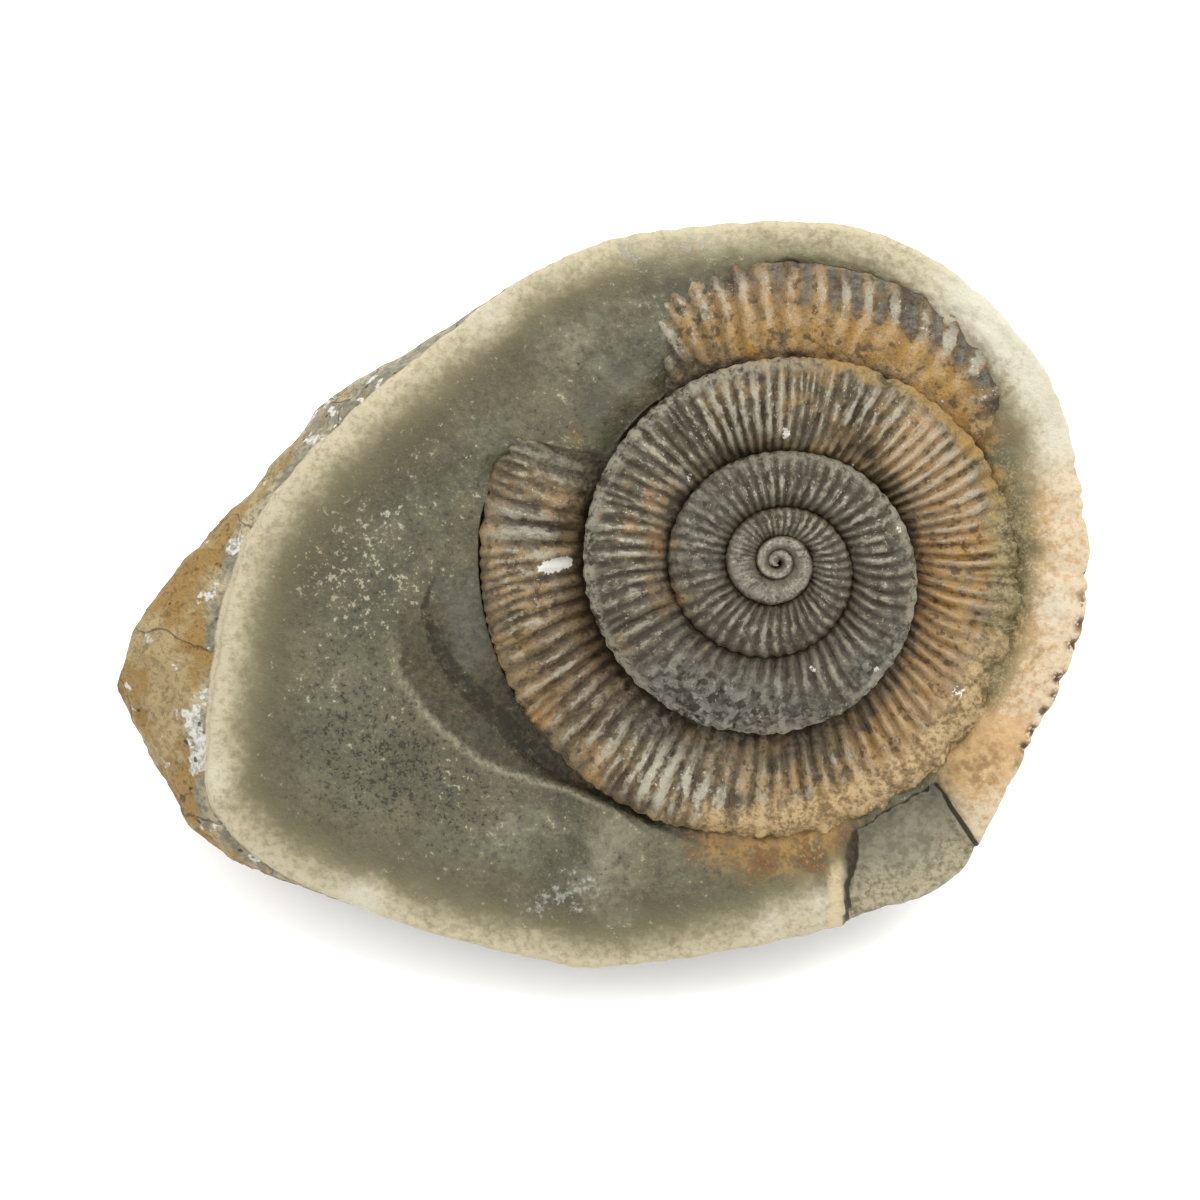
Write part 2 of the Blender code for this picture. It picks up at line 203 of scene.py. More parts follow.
# Soft round places on the face: u, v, size and strength, by the mesh attribute that they make
PLACES = {
    "worn": [
        (-11.5, -14.5, 4.8, 1.1), (-4.5, -17, 4.5, 1.1), (2.5, -17, 3.4, 0.9), (9.8, -11.5, 2.6, 0.95),
        (12.5, -7.5, 2, 0.7), (-8.8, 1, 3.2, 0.5), (-8, 5.5, 2.6, 0.5), (13.6, 1, 1.6, 0.5),
        (23, -9, 4, 0.6), (22, -14, 3.5, 0.5), (-27, 4, 2.5, 0.4), (25, 4, 3, 0.7),
    ],
    "warmth": [
        (14, 13, 4.5, 0.9), (18.5, 6, 4.5, 1), (18.5, -2, 4.5, 0.9), (18.5, -8, 4, 0.9),
        (17, -14, 4.5, 1.3), (11.5, -20, 4.5, 1), (3, -25, 5, 0.5), (-6, -27, 4, 0.3),
        (-13.5, 7, 2.6, 0.7), (-13, 1.5, 2.6, 0.7), (-12.5, -4, 2.4, 0.7), (-27.5, 8, 2.6, 0.7),
        (-23.5, 6.5, 2.4, 0.9), (-22, -9, 4, 0.5), (-24, -15, 3, 0.6), (-3, 27.5, 4.5, 0.8),
        (3, 28.5, 3.5, 0.8), (-1, -18.8, 3, 0.5),
    ],
    "dirt": [
        (-24, -10, 4.5, 1), (-27.5, 8, 4, 0.8), (-22, -16, 4, 0.6), (-15, -20, 4, 0.15), (-20.5, -6, 3, 0.9),
        (4, -21, 2.5, 0.6), (8.5, -18.5, 2.6, 0.6), (8.5, 12, 2.6, 0.9), (-16, 9, 3, 0.5), (-11, 15, 4, 1),
        (11, -4, 3, 0.4), (-12.5, -5.5, 2.5, 0.6),
    ],
    # Where the painted highlight on the rib crests is stronger
    "bright": [
        (-12, -24.5, 5.5, 2.1), (-24.5, 0, 4, 0.6), (13, 13, 4, 0.5), (18.5, 5, 4, 0.4), (-16, 2, 4, 0.8),
    ],
    "glint": [
        (-24.8, -0.9, 0.9, 1.2), (-23.7, -0.7, 0.8, 1.3), (-22.6, -0.5, 0.7, 1.2), (0.7, 13.8, 0.65, 1),
        (-9.6, 9.1, 0.6, 0.9), (10.5, -11.7, 0.6, 0.9), (7.8, 10.2, 0.4, 0.8), (3.6, -11.5, 0.45, 0.9),
        (19.4, -14.4, 0.8, 1), (12.6, 3.6, 0.6, 0.7), (-16.7, 4.3, 0.6, 0.7), (17.4, 17, 0.6, 0.7),
    ],
    "ochre": [
        (-9.5, 22.5, 3.5, 0.5), (-4, 24.5, 4, 1), (2, 24.8, 4, 1), (8, 23.5, 4, 1), (13.5, 21.5, 3.6, 1.1),
        (18, 18, 3.2, 1.3), (21, 13.5, 2.8, 1.2), (23, 8, 2.4, 0.9), (20, 1, 4, 0.9), (19, -6, 3.8, 0.8),
        (16, -13, 3.6, 0.6), (11, -20, 3.8, 0.7), (5, -25.5, 4, 0.6), (21, -22.5, 3.5, 0.7),
        (-7, -31.5, 3.4, 0.8), (-2, -32.5, 3.2, 0.9), (2.5, -32.5, 3.2, 0.9), (5.5, -29.5, 3.5, 0.7),
        (-28.5, -9.5, 2.4, 0.7), (-25, -17.5, 2.4, 0.6), (-20.5, -23.5, 2.4, 0.5), (-17, -9.5, 2, 0.5),
        (-15.5, 4.5, 2.2, 0.5), (-21.5, 13, 2, 0.5),
    ],
    "frost": [
        (-23, -36.8, 2.4, 0.8), (-20.5, -35.8, 1.8, 0.7), (-26, -38, 2.2, 0.6), (-30.5, -30.2, 1.3, 0.8),
        (-8.5, 34, 3.6, 0.9), (-16, 32.5, 3, 0.7), (-42.5, 4, 2.4, 0.6), (-44.5, 1, 2.2, 0.5),
        (-45, -36.8, 2, 1), (-40, 8, 3, 0.4), (-47.5, -13, 2.5, 0.4), (-13, 28, 2.5, 0.4),
    ],
    "lime": [
        (-62.5, -19, 2.8, 0.9), (-62, -22.5, 1.8, 0.9), (-61.5, -4.5, 1.4, 0.5), (-58, 2, 1.5, 0.5),
        (-50.5, 12.5, 1.6, 0.6), (-62.5, -26, 1.4, 0.5),
    ],
    "film": [
        (-11, 31, 5.5, 0.8), (-3, 34.5, 3.5, 0.7), (-22, 24, 6.5, 0.7), (-32, 15, 5, 0.4), (-16, 18, 4, 0.4),
        (-18, -37, 6, 0.6), (-28, -31, 7, 0.5), (-17, -31, 3.5, 0.7),
    ],
    "tan": [(21.5, -22.5, 4.5, 1.2), (25, -19, 4, 0.8), (26.5, -8, 3, 0.6), (28, 6, 3, 0.5)],
    "pale": [
        (19.5, 28.5, 3.5, 0.9), (23.5, 24.5, 3.5, 1), (27, 19.5, 3.5, 1), (30, 13, 3.2, 1),
        (5, -37.5, 2.4, 0.6), (-1, -40, 2.4, 0.5), (-45, -37.5, 2.5, 0.9), (-60.5, -24, 2, 0.6),
        (-31, 25.5, 2.5, 0.5), (29.5, -5, 2.2, 0.6),
    ],
    "shade": [
        (-24.5, 14, 2.6, 0.5), (-20, 16, 2.8, 0.6), (-17, 19.5, 2.8, 0.6), (-14, 24, 2.4, 0.5),
        (-10.5, 28.5, 2.6, 0.9), (24, 12, 2.4, 0.7), (25.5, 7, 2, 0.5), (27, 1, 1.6, 0.5),
        (-27, -35, 5, 0.4), (-39, -34, 5, 0.4),
    ],
    "pitted": [(-46, -24, 7, 1), (-39, -21, 6.5, 1), (-47, -14, 5, 0.7), (-33, -28, 5, 0.6)],
    "flecked": [
        (-46, 3, 5, 1), (-42, -4, 5, 0.9), (-49, -4, 5, 0.8), (-38, 9, 5, 0.5), (25, 9, 3, 0.7),
        (23, -12, 4, 0.7), (28.5, 3, 2.5, 0.7),
    ],
}


def linear(colour):
    """Linear colour of a surface that shows a tuple of 8-bit values in the stage's light."""
    if not isinstance(colour, tuple):
        return colour
    return tuple(((part / 255 + 0.055) / 1.055) ** 2.4 / STAGE_LIGHT for part in colour)


def colour_property(name, description, default):
    return FloatVectorProperty(
        name=name, description=description, default=linear(default), subtype="COLOR", size=3, min=0, max=1
    )


def number_property(name, description, default, low, high, **kind):
    return FloatProperty(name=name, description=description, default=default, min=low, max=high, **kind)


class RockSettings(bpy.types.PropertyGroup):
    matrix_colour: colour_property("Matrix", "Grey olive mudstone inside the nodule", (120, 117, 92))
    matrix_dark: colour_property("Matrix shade", "Darker clouds in the mudstone", (94, 92, 72))
    rim_colour: colour_property("Rim", "Pale cream rind round the face", (214, 202, 168))
    peach_colour: colour_property("Peach rim", "Warm rind on the right of the face", (236, 216, 182))
    ochre_colour: colour_property("Ochre", "Iron stain round the shell", (192, 148, 82))
    crust_colour: colour_property("Crust", "Weathered outside of the nodule", (158, 152, 130))
    crust_ochre: colour_property("Crust ochre", "Rusty patches of the crust", (212, 166, 82))
    lime_colour: colour_property("Lime", "White lime spots on the crust", (240, 238, 228))
    rim_width: number_property("Rim width", "Width of the pale rind", 0.0062, 0.001, 0.02, unit="LENGTH")
    crust_relief: number_property(
        "Crust relief", "Height of the lumps on the back", 0.0011, 0.0, 0.004, unit="LENGTH"
    )


class ShellSettings(bpy.types.PropertyGroup):
    rib_relief: number_property(
        "Rib relief", "Rib height as a share of the whorl's width", 0.064, 0.0, 0.15, subtype="FACTOR"
    )
    rib_lean: number_property(
        "Rib lean", "How far a rib sweeps forward across the whorl, in ribs", 0.7, -3.0, 3.0
    )
    split_share: number_property(
        "Split ribs", "Share of the ribs that fork near the outer edge", 0.15, 0.0, 1.0, subtype="FACTOR"
    )
    samples_per_rib: number_property("Samples per rib", "Mesh columns along each rib", 10.2, 3.0, 12.0)
    section_samples: IntProperty(
        name="Section samples", description="Mesh rows round the whorl's section", default=33, min=12, max=48
    )
    charcoal_colour: colour_property("Charcoal", "Olive grey shell of the inner whorls", (108, 103, 82))
    umber_colour: colour_property("Umber", "Brown shell of the outer whorl", (140, 120, 86))
    warm_colour: colour_property("Warm brown", "Peach brown patches of the shell", (188, 155, 104))
    ochre_colour: colour_property("Ochre", "Iron stained shell", (188, 144, 66))
    # Crest colour: partly the crests' own pale worn shell, partly painted highlight
    silver_and_highlight_colour: colour_property("Silver", "Pale worn crests of the ribs", (190, 184, 162))
    # Painted shade in the hollows between the ribs and in the seams between the whorls
    groove_shade_colour: colour_property("Groove", "Dark hollows between the ribs", (60, 50, 34))


class StageSettings(bpy.types.PropertyGroup):
    floor_colour: colour_property("Floor", "Plain pale table", Color((0.88, 0.88, 0.875)))
    camera_rise: number_property(
        "Camera rise", "Angle of the camera above the floor", math.radians(65), 0.0, math.radians(90),
        subtype="ANGLE",
    )
    camera_distance: number_property(
        "Camera distance", "From the camera to the nodule", 0.5, 0.1, 3.0, unit="LENGTH"
    )
    camera_lens: number_property("Lens", "Focal length", 140.0, 20.0, 300.0, subtype="DISTANCE_CAMERA")
    key_power: number_property(
        "Key light", "Power of the large soft light at the upper right", 5.2, 0.0, 100.0, unit="POWER"
    )


class Value:
    """A socket that arithmetic can be written with; each operation adds its node."""

    def __init__(self, graph, socket):
        self.graph = graph
        self.socket = socket

    def math(self, operation, *others):
        return self.graph.math(operation, self, *others)

    def __add__(self, other):
        return self.math("ADD", other)

    def __sub__(self, other):
        return self.math("SUBTRACT", other)

    def __rsub__(self, other):
        return self.graph.math("SUBTRACT", other, self)

    def __mul__(self, other):
        return self.math("MULTIPLY", other)

    def __truediv__(self, other):
        return self.math("DIVIDE", other)

    def __rtruediv__(self, other):
        return self.graph.math("DIVIDE", other, self)

    def __pow__(self, other):
        return self.math("POWER", other)

    __radd__ = __add__
    __rmul__ = __mul__

    def ramp(self, low, high):
        """0 below low, 1 above high, and a smooth step between; high may be the smaller."""
        return self.graph.node(
            "ShaderNodeMapRange", {"interpolation_type": "SMOOTHSTEP"},
            {"Value": self, "From Min": low, "From Max": high},
        )

    def tint(self, first, second):
        """Colour that goes from first to second as this number goes from 0 to 1."""
        return self.graph.node("ShaderNodeMix", {"data_type": "RGBA"}, {0: self, 6: first, 7: second}, 2)

    def coats(self, *layers):
        """This colour with others laid over it in turn: a layer is its share, 0 to 1, and its colour."""
        colour = self
        for share, coat in layers:
            colour = share.tint(colour, coat)
        return colour


class Graph:
    """A node tree that is written as expressions."""

    def __init__(self, tree):
        self.tree = tree

    def node(self, kind, settings=None, sockets=None, output=0):
        """Add a node: its settings first, then the values or links of its sockets."""
        node = self.tree.nodes.new(kind)
        for name, value in (settings or {}).items():
            if name == "points":
                set_points(node.mapping, value)
            else:
                setattr(node, name, value)
        for name, value in (sockets or {}).items():
            socket = node.inputs[name]
            if isinstance(value, Value):
                self.tree.links.new(value.socket, socket)
            elif socket.type == "RGBA":
                socket.default_value = (*linear(value), 1.0)
            else:
                socket.default_value = value
        return Value(self, node.outputs[output])

    def math(self, operation, *terms):
        return self.node("ShaderNodeMath", {"operation": operation}, dict(enumerate(terms)))

    def vector_math(self, operation, first, second):
        return self.node("ShaderNodeVectorMath", {"operation": operation}, {0: first, 1: second})

    def vector(self, x, y, z):
        return self.node("ShaderNodeCombineXYZ", {}, {"X": x, "Y": y, "Z": z})

    def noise(self, place, scale, detail=2.0, roughness=0.5, output=0):
        """Fractal noise from 0 to 1 around 0.5; scale is in cycles per unit of place."""
        sockets = {"Vector": place, "Scale": scale, "Detail": detail, "Roughness": roughness}
        return self.node("ShaderNodeTexNoise", {}, sockets, output)

    def cells(self, place, scale, feature="F1", output="Distance"):
        """Distance to the nearest cell centre or cell edge, or the cell's own chance colour."""
        sockets = {"Vector": place, "Scale": scale}
        return self.node("ShaderNodeTexVoronoi", {"feature": feature}, sockets, output)

    def stored(self, *names):
        """Numbers that the mesh stores under these names."""
        values = [self.node("ShaderNodeAttribute", {"attribute_name": name}, output="Fac") for name in names]
        return values if len(values) > 1 else values[0]

    def bent(self, vector, scale, amount):
        """A place that is pushed about by noise, which breaks up straight patterns."""
        push = self.vector_math("SUBTRACT", self.noise(vector, scale, 3.0, output="Color"), (0.5, 0.5, 0.5))
        return self.vector_math("ADD", vector, self.vector_math("MULTIPLY", push, (amount,) * 3))


def set_points(mapping, points):
    """Points of a Float Curve over 0 to 1, which must lie within 0 to 1 too."""
    curve = mapping.curves[0]
    curve.points[0].location = points[0]
    curve.points[-1].location = points[-1]
    for x, y in points[1:-1]:
        curve.points.new(x, y)
    mapping.update()


def smooth(value, low, high):
    """Numpy smooth step from low to high."""
    share = np.clip((value - low) / (high - low), 0, 1)
    return share * share * (3 - 2 * share)


def through(table, place, wrap=None):
    """Value at a place from rows of place and value, straight between rows."""
    rows = np.array(table, float)
    return np.interp(place, rows[:, 0], rows[:, 1], period=wrap)


def on_curve(step, start, end, start_slope, end_slope):
    """Value on the cubic from start to end that has these slopes there; step goes from 0 to 1."""
    return (
        (2 * step**3 - 3 * step**2 + 1) * start + (step**3 - 2 * step**2 + step) * start_slope
        + (3 * step**2 - 2 * step**3) * end + (step**3 - step**2) * end_slope
    )


def curved_through(table, place):
    """Value at a place on a smooth curve through rows of place and value."""
    places, values = np.array(table, float).T
    slopes = np.gradient(values, places)
    last = np.clip(np.searchsorted(places, place, side="right"), 1, len(places) - 1)
    gap = places[last] - places[last - 1]
    step = np.clip((place - places[last - 1]) / gap, 0, 1)
    return on_curve(step, values[last - 1], values[last], slopes[last - 1] * gap, slopes[last] * gap)


def soft_places(u, v, places):
    """Sum of soft round patches at points of the face, from 0 upwards."""
    total = np.zeros_like(u)
    for patch_u, patch_v, size, strength in places:
        total += strength * np.exp(-((u - patch_u) ** 2 + (v - patch_v) ** 2) / size**2)
    return total


def rough(points, size, seed, octaves=3):
    """Fractal noise at an array of points, about -1 to 1; size is the width of its lumps in millimetres."""
    shift = Vector((seed * 17.3, seed * -9.1, seed * 5.7))
    scale = 1 / size
    places = (Vector(point) * scale + shift for point in points.reshape(-1, 3))
    return np.array([noise.fractal(place, 0.9, 2.1, octaves) for place in places]).reshape(points.shape[:-1])


def even_points_on(outline, count):
    """Evenly spaced points on the smooth closed curve through an outline."""
    corners = np.array(outline)
    steps = np.linspace(0, 1, 40, endpoint=False)[:, None]
    pieces = []
    for index in range(len(corners)):
        before, start, end, after = (corners[(index + shift) % len(corners)] for shift in (-1, 0, 1, 2))
        pieces.append(on_curve(steps, start, end, (end - before) / 2, (after - start) / 2))
    fine = np.concatenate(pieces + [corners[:1]])
    lengths = np.concatenate(([0.0], np.cumsum(np.linalg.norm(np.diff(fine, axis=0), axis=1))))
    wanted = np.linspace(0, lengths[-1], count, endpoint=False)
    return np.stack([np.interp(wanted, lengths, fine[:, axis]) for axis in (0, 1)], axis=1)


def to_world(points):
    """World millimetres of points in the face's frame."""
    return points @ FACE_TO_WORLD[:3, :3].T + FACE_TO_WORLD[:3, 3]


def to_face(points):
    """Points in the face's frame of world millimetres."""
    return (points - FACE_TO_WORLD[:3, 3]) @ FACE_TO_WORLD[:3, :3]


def sector(degrees, name):
    """1 in the directions of a sector, falling to 0 at its ends."""
    middle, full, end = SECTORS[name]
    return 1 - smooth(np.abs((degrees - middle + 180) % 360 - 180), full, end)


def rock_edge_round_shell(degrees):
    """Radius at which the rock begins, in each direction."""
    whorl_edge = np.exp(curved_through(WHORL_EDGE_LOGS, 3 + ((90 - degrees) % 360) / 360)) + 0.08
    bare = (degrees > BARE_WHORL[0]) & (degrees < BARE_WHORL[1])
    return np.where(bare, whorl_edge, through(ROCK_OVER_SHELL, degrees))


def side_of(u, v, start, end):
    """Signed distance to the left of the line from start to end."""
    along = np.array(end) - np.array(start)
    along = along / np.linalg.norm(along)
    return (u - start[0]) * -along[1] + (v - start[1]) * along[0]


def chip_share(u, v):
    """How far inside the chip a point of the face is, from 0 to 1."""
    broken = 0.45 * rough(np.stack((u, v, 0 * u), axis=-1), 2.2, 21)
    u, v = u + broken, v - broken
    left_width = 0.4 + 1.8 * smooth(v, -43, -31)
    left_wall = smooth((u - CHIP_LEFT[0]) / left_width, -0.1, 1)
    top_wall = smooth(-side_of(u, v, CHIP_LEFT, CHIP_TOP), -0.1, 0.7)
    right_wall = smooth(-side_of(u, v, CHIP_TOP, CHIP_RIGHT), -0.1, 0.6)
    return left_wall * top_wall * right_wall


def rib_marks(degrees):
    """Unevenly spaced, rounded ridges with narrow hollows between them, round the coil, from 0 to 1."""
    shifted = degrees + 1.2 * np.sin(np.radians(degrees * 11)) + 0.7 * np.sin(np.radians(degrees * 29 + 40))
    part = (shifted * RIM_MARKS / 360) % 1
    return 1 - np.abs(2 * part - 1) ** 2.2


def stone_veneer(u, v):
    """How far thin stone still covers the outer whorl, on its right side, from 0 to 1."""
    degrees = np.degrees(np.arctan2(v, u))
    inner = 21.5 + 0.04 * np.maximum(-degrees, 0)
    return smooth(np.hypot(u, v), inner, inner + 2.5) * smooth(degrees, -58, -42) * smooth(degrees, 34, 18)


def crescent_at(degrees):
    """Radius of the mould's lip and of its crease, and depth of its band and of its floor."""
    return [through(rows, degrees) for rows in (CRESCENT_LIP, CRESCENT_CREASE, BAND_DEPTH, MOULD_DEPTH)]


def crescent_drop(degrees, radius):
    """Depth of the crescent mould, in each direction and at each radius."""
    lip, crease, depth, floor = crescent_at(degrees)
    step = 0.3 * np.minimum(depth, 1) * smooth(lip - radius, -0.1, 0.25)
    slope = np.clip((lip - radius) / (lip - crease), 0, 1) ** 1.3 * np.maximum(depth - 0.3, 0)
    inside = smooth(crease - radius, 0, 0.5)
    return (step + slope) * (1 - inside) + floor * inside


def crescent_layers(degrees, radius):
    """Where the crescent mould's lip with its painted highlight, sloping band, crease with its painted
    shade, slab and dark floor lie, each 0 to 1.
    """
    lip, crease, depth, floor = crescent_at(degrees)
    in_lip, in_crease = lip - radius, crease - radius
    inside = smooth(in_crease, -0.2, 0.3)
    # The floor darkens where it is deep, as painted shade, and beside the crease, as the shell's painted
    # shadow
    beside = smooth(in_crease, 3.4, 1.2) * smooth(degrees, 184, 191) * 0.85
    dark = np.maximum(smooth(floor, 0.4, 1.1), beside)
    width = through(WEDGE_WIDTH, degrees)
    # Painted shade in a wedge along the crease
    crease_shade_wedge = smooth(in_crease, -0.35, 0.05) * smooth(in_crease, width + 0.4, width - 0.3)
    return {
        # Painted highlight on the lip's edge
        "lip": np.exp(-(((in_lip + 0.05) / 0.34) ** 2)) * smooth(depth, 0.5, 1.2),
        "band": (1 - inside) * smooth(in_lip, -0.1, 0.3) * smooth(depth, 0.3, 1),
        "crease": crease_shade_wedge * smooth(depth, 0.1, 0.5),
        "slab": inside * (1 - dark) * smooth(depth, 0, 0.8),
        "mould": inside * dark,
    }


def face_height(points, degrees, radius, reach, hole):
    """Height of the fracture face over its own flat plane."""
    u, v = points[..., 0], points[..., 1]
    height = sum(lump * rough(points, size, seed, octaves) for lump, size, seed, octaves in FACE_LUMPS)
    height -= 0.55 * smooth(reach - radius, 5, 0) ** 2
    soft = through(SOFT_EDGE, degrees)
    from_hole = radius - hole
    height -= SOFT_DIP * soft * (1 - smooth(from_hole, 0, 3.2))
    height += 0.95 * soft * np.exp(-from_hole / 5) * rough(points, 2.4, 4)
    buried = smooth(degrees, 112, 124) * (1 - smooth(degrees, 144, 156))
    height += buried * smooth(radius, 21.5, 25) * (1 - smooth(radius, 27, 36))
    height -= crescent_drop(degrees, radius)
    height += sector(degrees, "face marks") * (0.3 + 0.2 * rib_marks(degrees)) * smooth(reach - radius, 7, 3)
    chip = chip_share(u, v)
    return height * (1 - 0.6 * chip) - CHIP_DEPTH * chip - soft_places(u, v, STONE_HOLES)


def face_grid(rim, degrees):
    """Rings from the pocket's middle to the face's rim, in the face's frame, and their radii."""
    reach = np.linalg.norm(rim, axis=1)
    hole = rock_edge_round_shell(degrees) - SOFT_INSET * through(SOFT_EDGE, degrees)
    wall = 0.1
    rings = []
    for share in np.linspace(0, 1, POCKET_RINGS + 1)[1:]:
        depth = POCKET_MIDDLE_DEPTH + (POCKET_EDGE_DEPTH - POCKET_MIDDLE_DEPTH) * share**2
        rings.append((hole * share, -depth, 0))
    for share in np.linspace(0, 1, WALL_RINGS + 1)[1:]:
        rings.append((hole + wall * share, -POCKET_EDGE_DEPTH * (1 - share), share))
    for step in np.linspace(0, 1, FACE_RINGS + 1)[1:]:
        share = step - 0.09 * math.sin(2 * math.pi * step)
        rings.append((hole + wall + (reach - RIM_ROUNDING - hole - wall) * share, 0, 1))
    for angle in np.linspace(0, math.pi / 2, RIM_RINGS + 1)[1:]:
        inset = RIM_ROUNDING * (1 - math.sin(angle))
        rings.append((reach - inset, -RIM_ROUNDING * (1 - math.cos(angle)), 1))
    radius, depth, roughened = (np.array(column, float) for column in zip(*rings))
    angle = np.radians(degrees)
    flat = np.stack((radius * np.cos(angle), radius * np.sin(angle), 0 * radius), axis=2)
    height = face_height(flat, np.broadcast_to(degrees, radius.shape), radius, reach, hole)
    flat[..., 2] = depth[:, None] + roughened[:, None] * height
    return flat, radius


def side_grid(edge):
    """Rings of the rounded back, from the rim to the base, in world millimetres."""
    outward = (edge - BASE_CENTRE) * (1, 1, 0)
    seen = np.degrees(np.arctan2(outward[:, 1], outward[:, 0])) % 360
    unit = outward / np.linalg.norm(outward, axis=1, keepdims=True)
    side = edge + unit * through(SIDE_FLARE, seen, wrap=360)[:, None]
    side[:, 2] -= through(SIDE_DROP, seen, wrap=360) * edge[:, 2]
    under = BASE_CENTRE + outward * BASE_SPREAD
    steps = np.linspace(0, 1, SIDE_RINGS + 1)[1:-1, None, None]
    return (
        edge * (1 - steps) ** 3 + side * 3 * (1 - steps) ** 2 * steps + under * 3 * (1 - steps) * steps**2
        + BASE_CENTRE * steps**3
    )


def crust_lift(grid, down, degrees, relief):
    """How far the crust stands out from the smooth back, by place and by millimetres below the rim."""
    lift = -0.45 * smooth(rough(grid, 2.4, 8, 2), 0.28, 0.6) * smooth(down, 1, 4)
    for share, size, seed, octaves, rise in CRUST_LUMPS:
        lift += share * rough(grid, size, seed, octaves) * smooth(down, 0, rise)
    marks = sector(degrees, "crust marks") * 0.5 * (rib_marks(degrees) - 0.6)
    return relief * lift + marks * smooth(down, 0.2, 2.5) * (1 - smooth(down, 9, 17))


def grid_normals(grid):
    """Unit normals of a stack of rings, closed round each ring."""
    around = np.roll(grid, -1, axis=1) - np.roll(grid, 1, axis=1)
    normals = np.cross(np.gradient(grid, axis=0), around)
    return normals / np.maximum(np.linalg.norm(normals, axis=2, keepdims=True), 1e-9)


def rim_distance(points, rim):
    """Millimetres from each point of the face to the nearest point of the rim."""
    gaps = (np.linalg.norm(ring[:, None, :2] - rim[None, :, :], axis=2) for ring in points)
    return np.array([gap.min(axis=1) for gap in gaps])


def closed_mesh(name, rings, first, last):
    """Mesh over a stack of rings, closed at each end by one vertex; faces look outwards."""
    count, rays = rings.shape[:2]
    ray = np.arange(rays)
    beside = (ray + 1) % rays
    faces = []
    for row in range(0, (count - 1) * rays, rays):
        below = row + rays
        faces += np.stack((row + ray, below + ray, below + beside, row + beside), axis=1).tolist()
    end = (count - 1) * rays
    faces += np.stack((0 * ray + count * rays, ray, beside), axis=1).tolist()
    faces += np.stack((0 * ray + count * rays + 1, end + beside, end + ray), axis=1).tolist()
    mesh = bpy.data.meshes.new(name)
    mesh.from_pydata(np.concatenate((rings.reshape(-1, 3), [first, last])).tolist(), [], faces)
    return mesh


def positions_of(mesh):
    places = np.empty(len(mesh.vertices) * 3, np.float32)
    mesh.vertices.foreach_get("co", places)
    return places.reshape(-1, 3).astype(float)


def values_of(mesh, name):
    values = np.empty(len(mesh.vertices), np.float32)
    mesh.attributes[name].data.foreach_get("value", values)
    return values.astype(float)


def add_attributes(mesh, layers):
    """Store numbers for each vertex, by name."""
    for name, values in layers.items():
        layer = mesh.attributes.get(name) or mesh.attributes.new(name, "FLOAT", "POINT")
        layer.data.foreach_set("value", np.asarray(values, np.float32).ravel())


def point_outwards(mesh):
    """Turn the faces of a closed mesh over if they look inwards."""
    places = positions_of(mesh)
    mesh.calc_loop_triangles()
    corners = np.empty(len(mesh.loop_triangles) * 3, np.int32)
    mesh.loop_triangles.foreach_get("vertices", corners)
    a, b, c = (places[corners.reshape(-1, 3)[:, corner]] for corner in range(3))
    if (a * np.cross(b, c)).sum() < 0:
        mesh.flip_normals()


def add_piece(mesh, places, material, node):
    """Move a mesh's vertices to places in world millimetres and show it in place of its CAD node."""
    mesh.vertices.foreach_set("co", (places * MM).astype(np.float32).ravel())
    mesh.update()
    point_outwards(mesh)
    mesh.materials.clear()
    mesh.materials.append(material)
    mesh.shade_smooth()
    piece = bpy.data.objects.new(mesh.name, mesh)
    bpy.context.scene.collection.objects.link(piece)
    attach(piece, "root")
    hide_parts(node)


def new_material(name, patterns):
    """New material with its graph, the place in millimetres and its noises."""
    material = bpy.data.materials.new(name)
    material.use_nodes = True
    graph = Graph(material.node_tree)
    place = graph.vector_math("MULTIPLY", graph.node("ShaderNodeTexCoord", output="Object"), (1 / MM,) * 3)
    return material, graph, place, [graph.noise(place, *pattern) for pattern in patterns]


def finish_material(graph, colour, roughness, height, bump_depth, specular):
    """Join colour, roughness and bump to the shader; a height of 1 is bump_depth millimetres."""
    shader = graph.tree.nodes["Principled BSDF"]
    shader.inputs["Specular IOR Level"].default_value = specular
    bump = graph.node("ShaderNodeBump", {}, {"Height": height, "Distance": bump_depth * MM, "Strength": 1.0})
    for name, value in (("Base Color", colour), ("Roughness", roughness), ("Normal", bump)):
        graph.tree.links.new(value.socket, shader.inputs[name])


def smeared_stone(mixed, grain):
    """Thin crumbly stone that is left on and beside the outer whorl."""
    crumbs = (grain.ramp(0.56, 0.64) * 0.5, (214, 196, 152))
    return mixed.ramp(0.38, 0.6).tint((110, 99, 66), (170, 152, 108)).coats(crumbs)


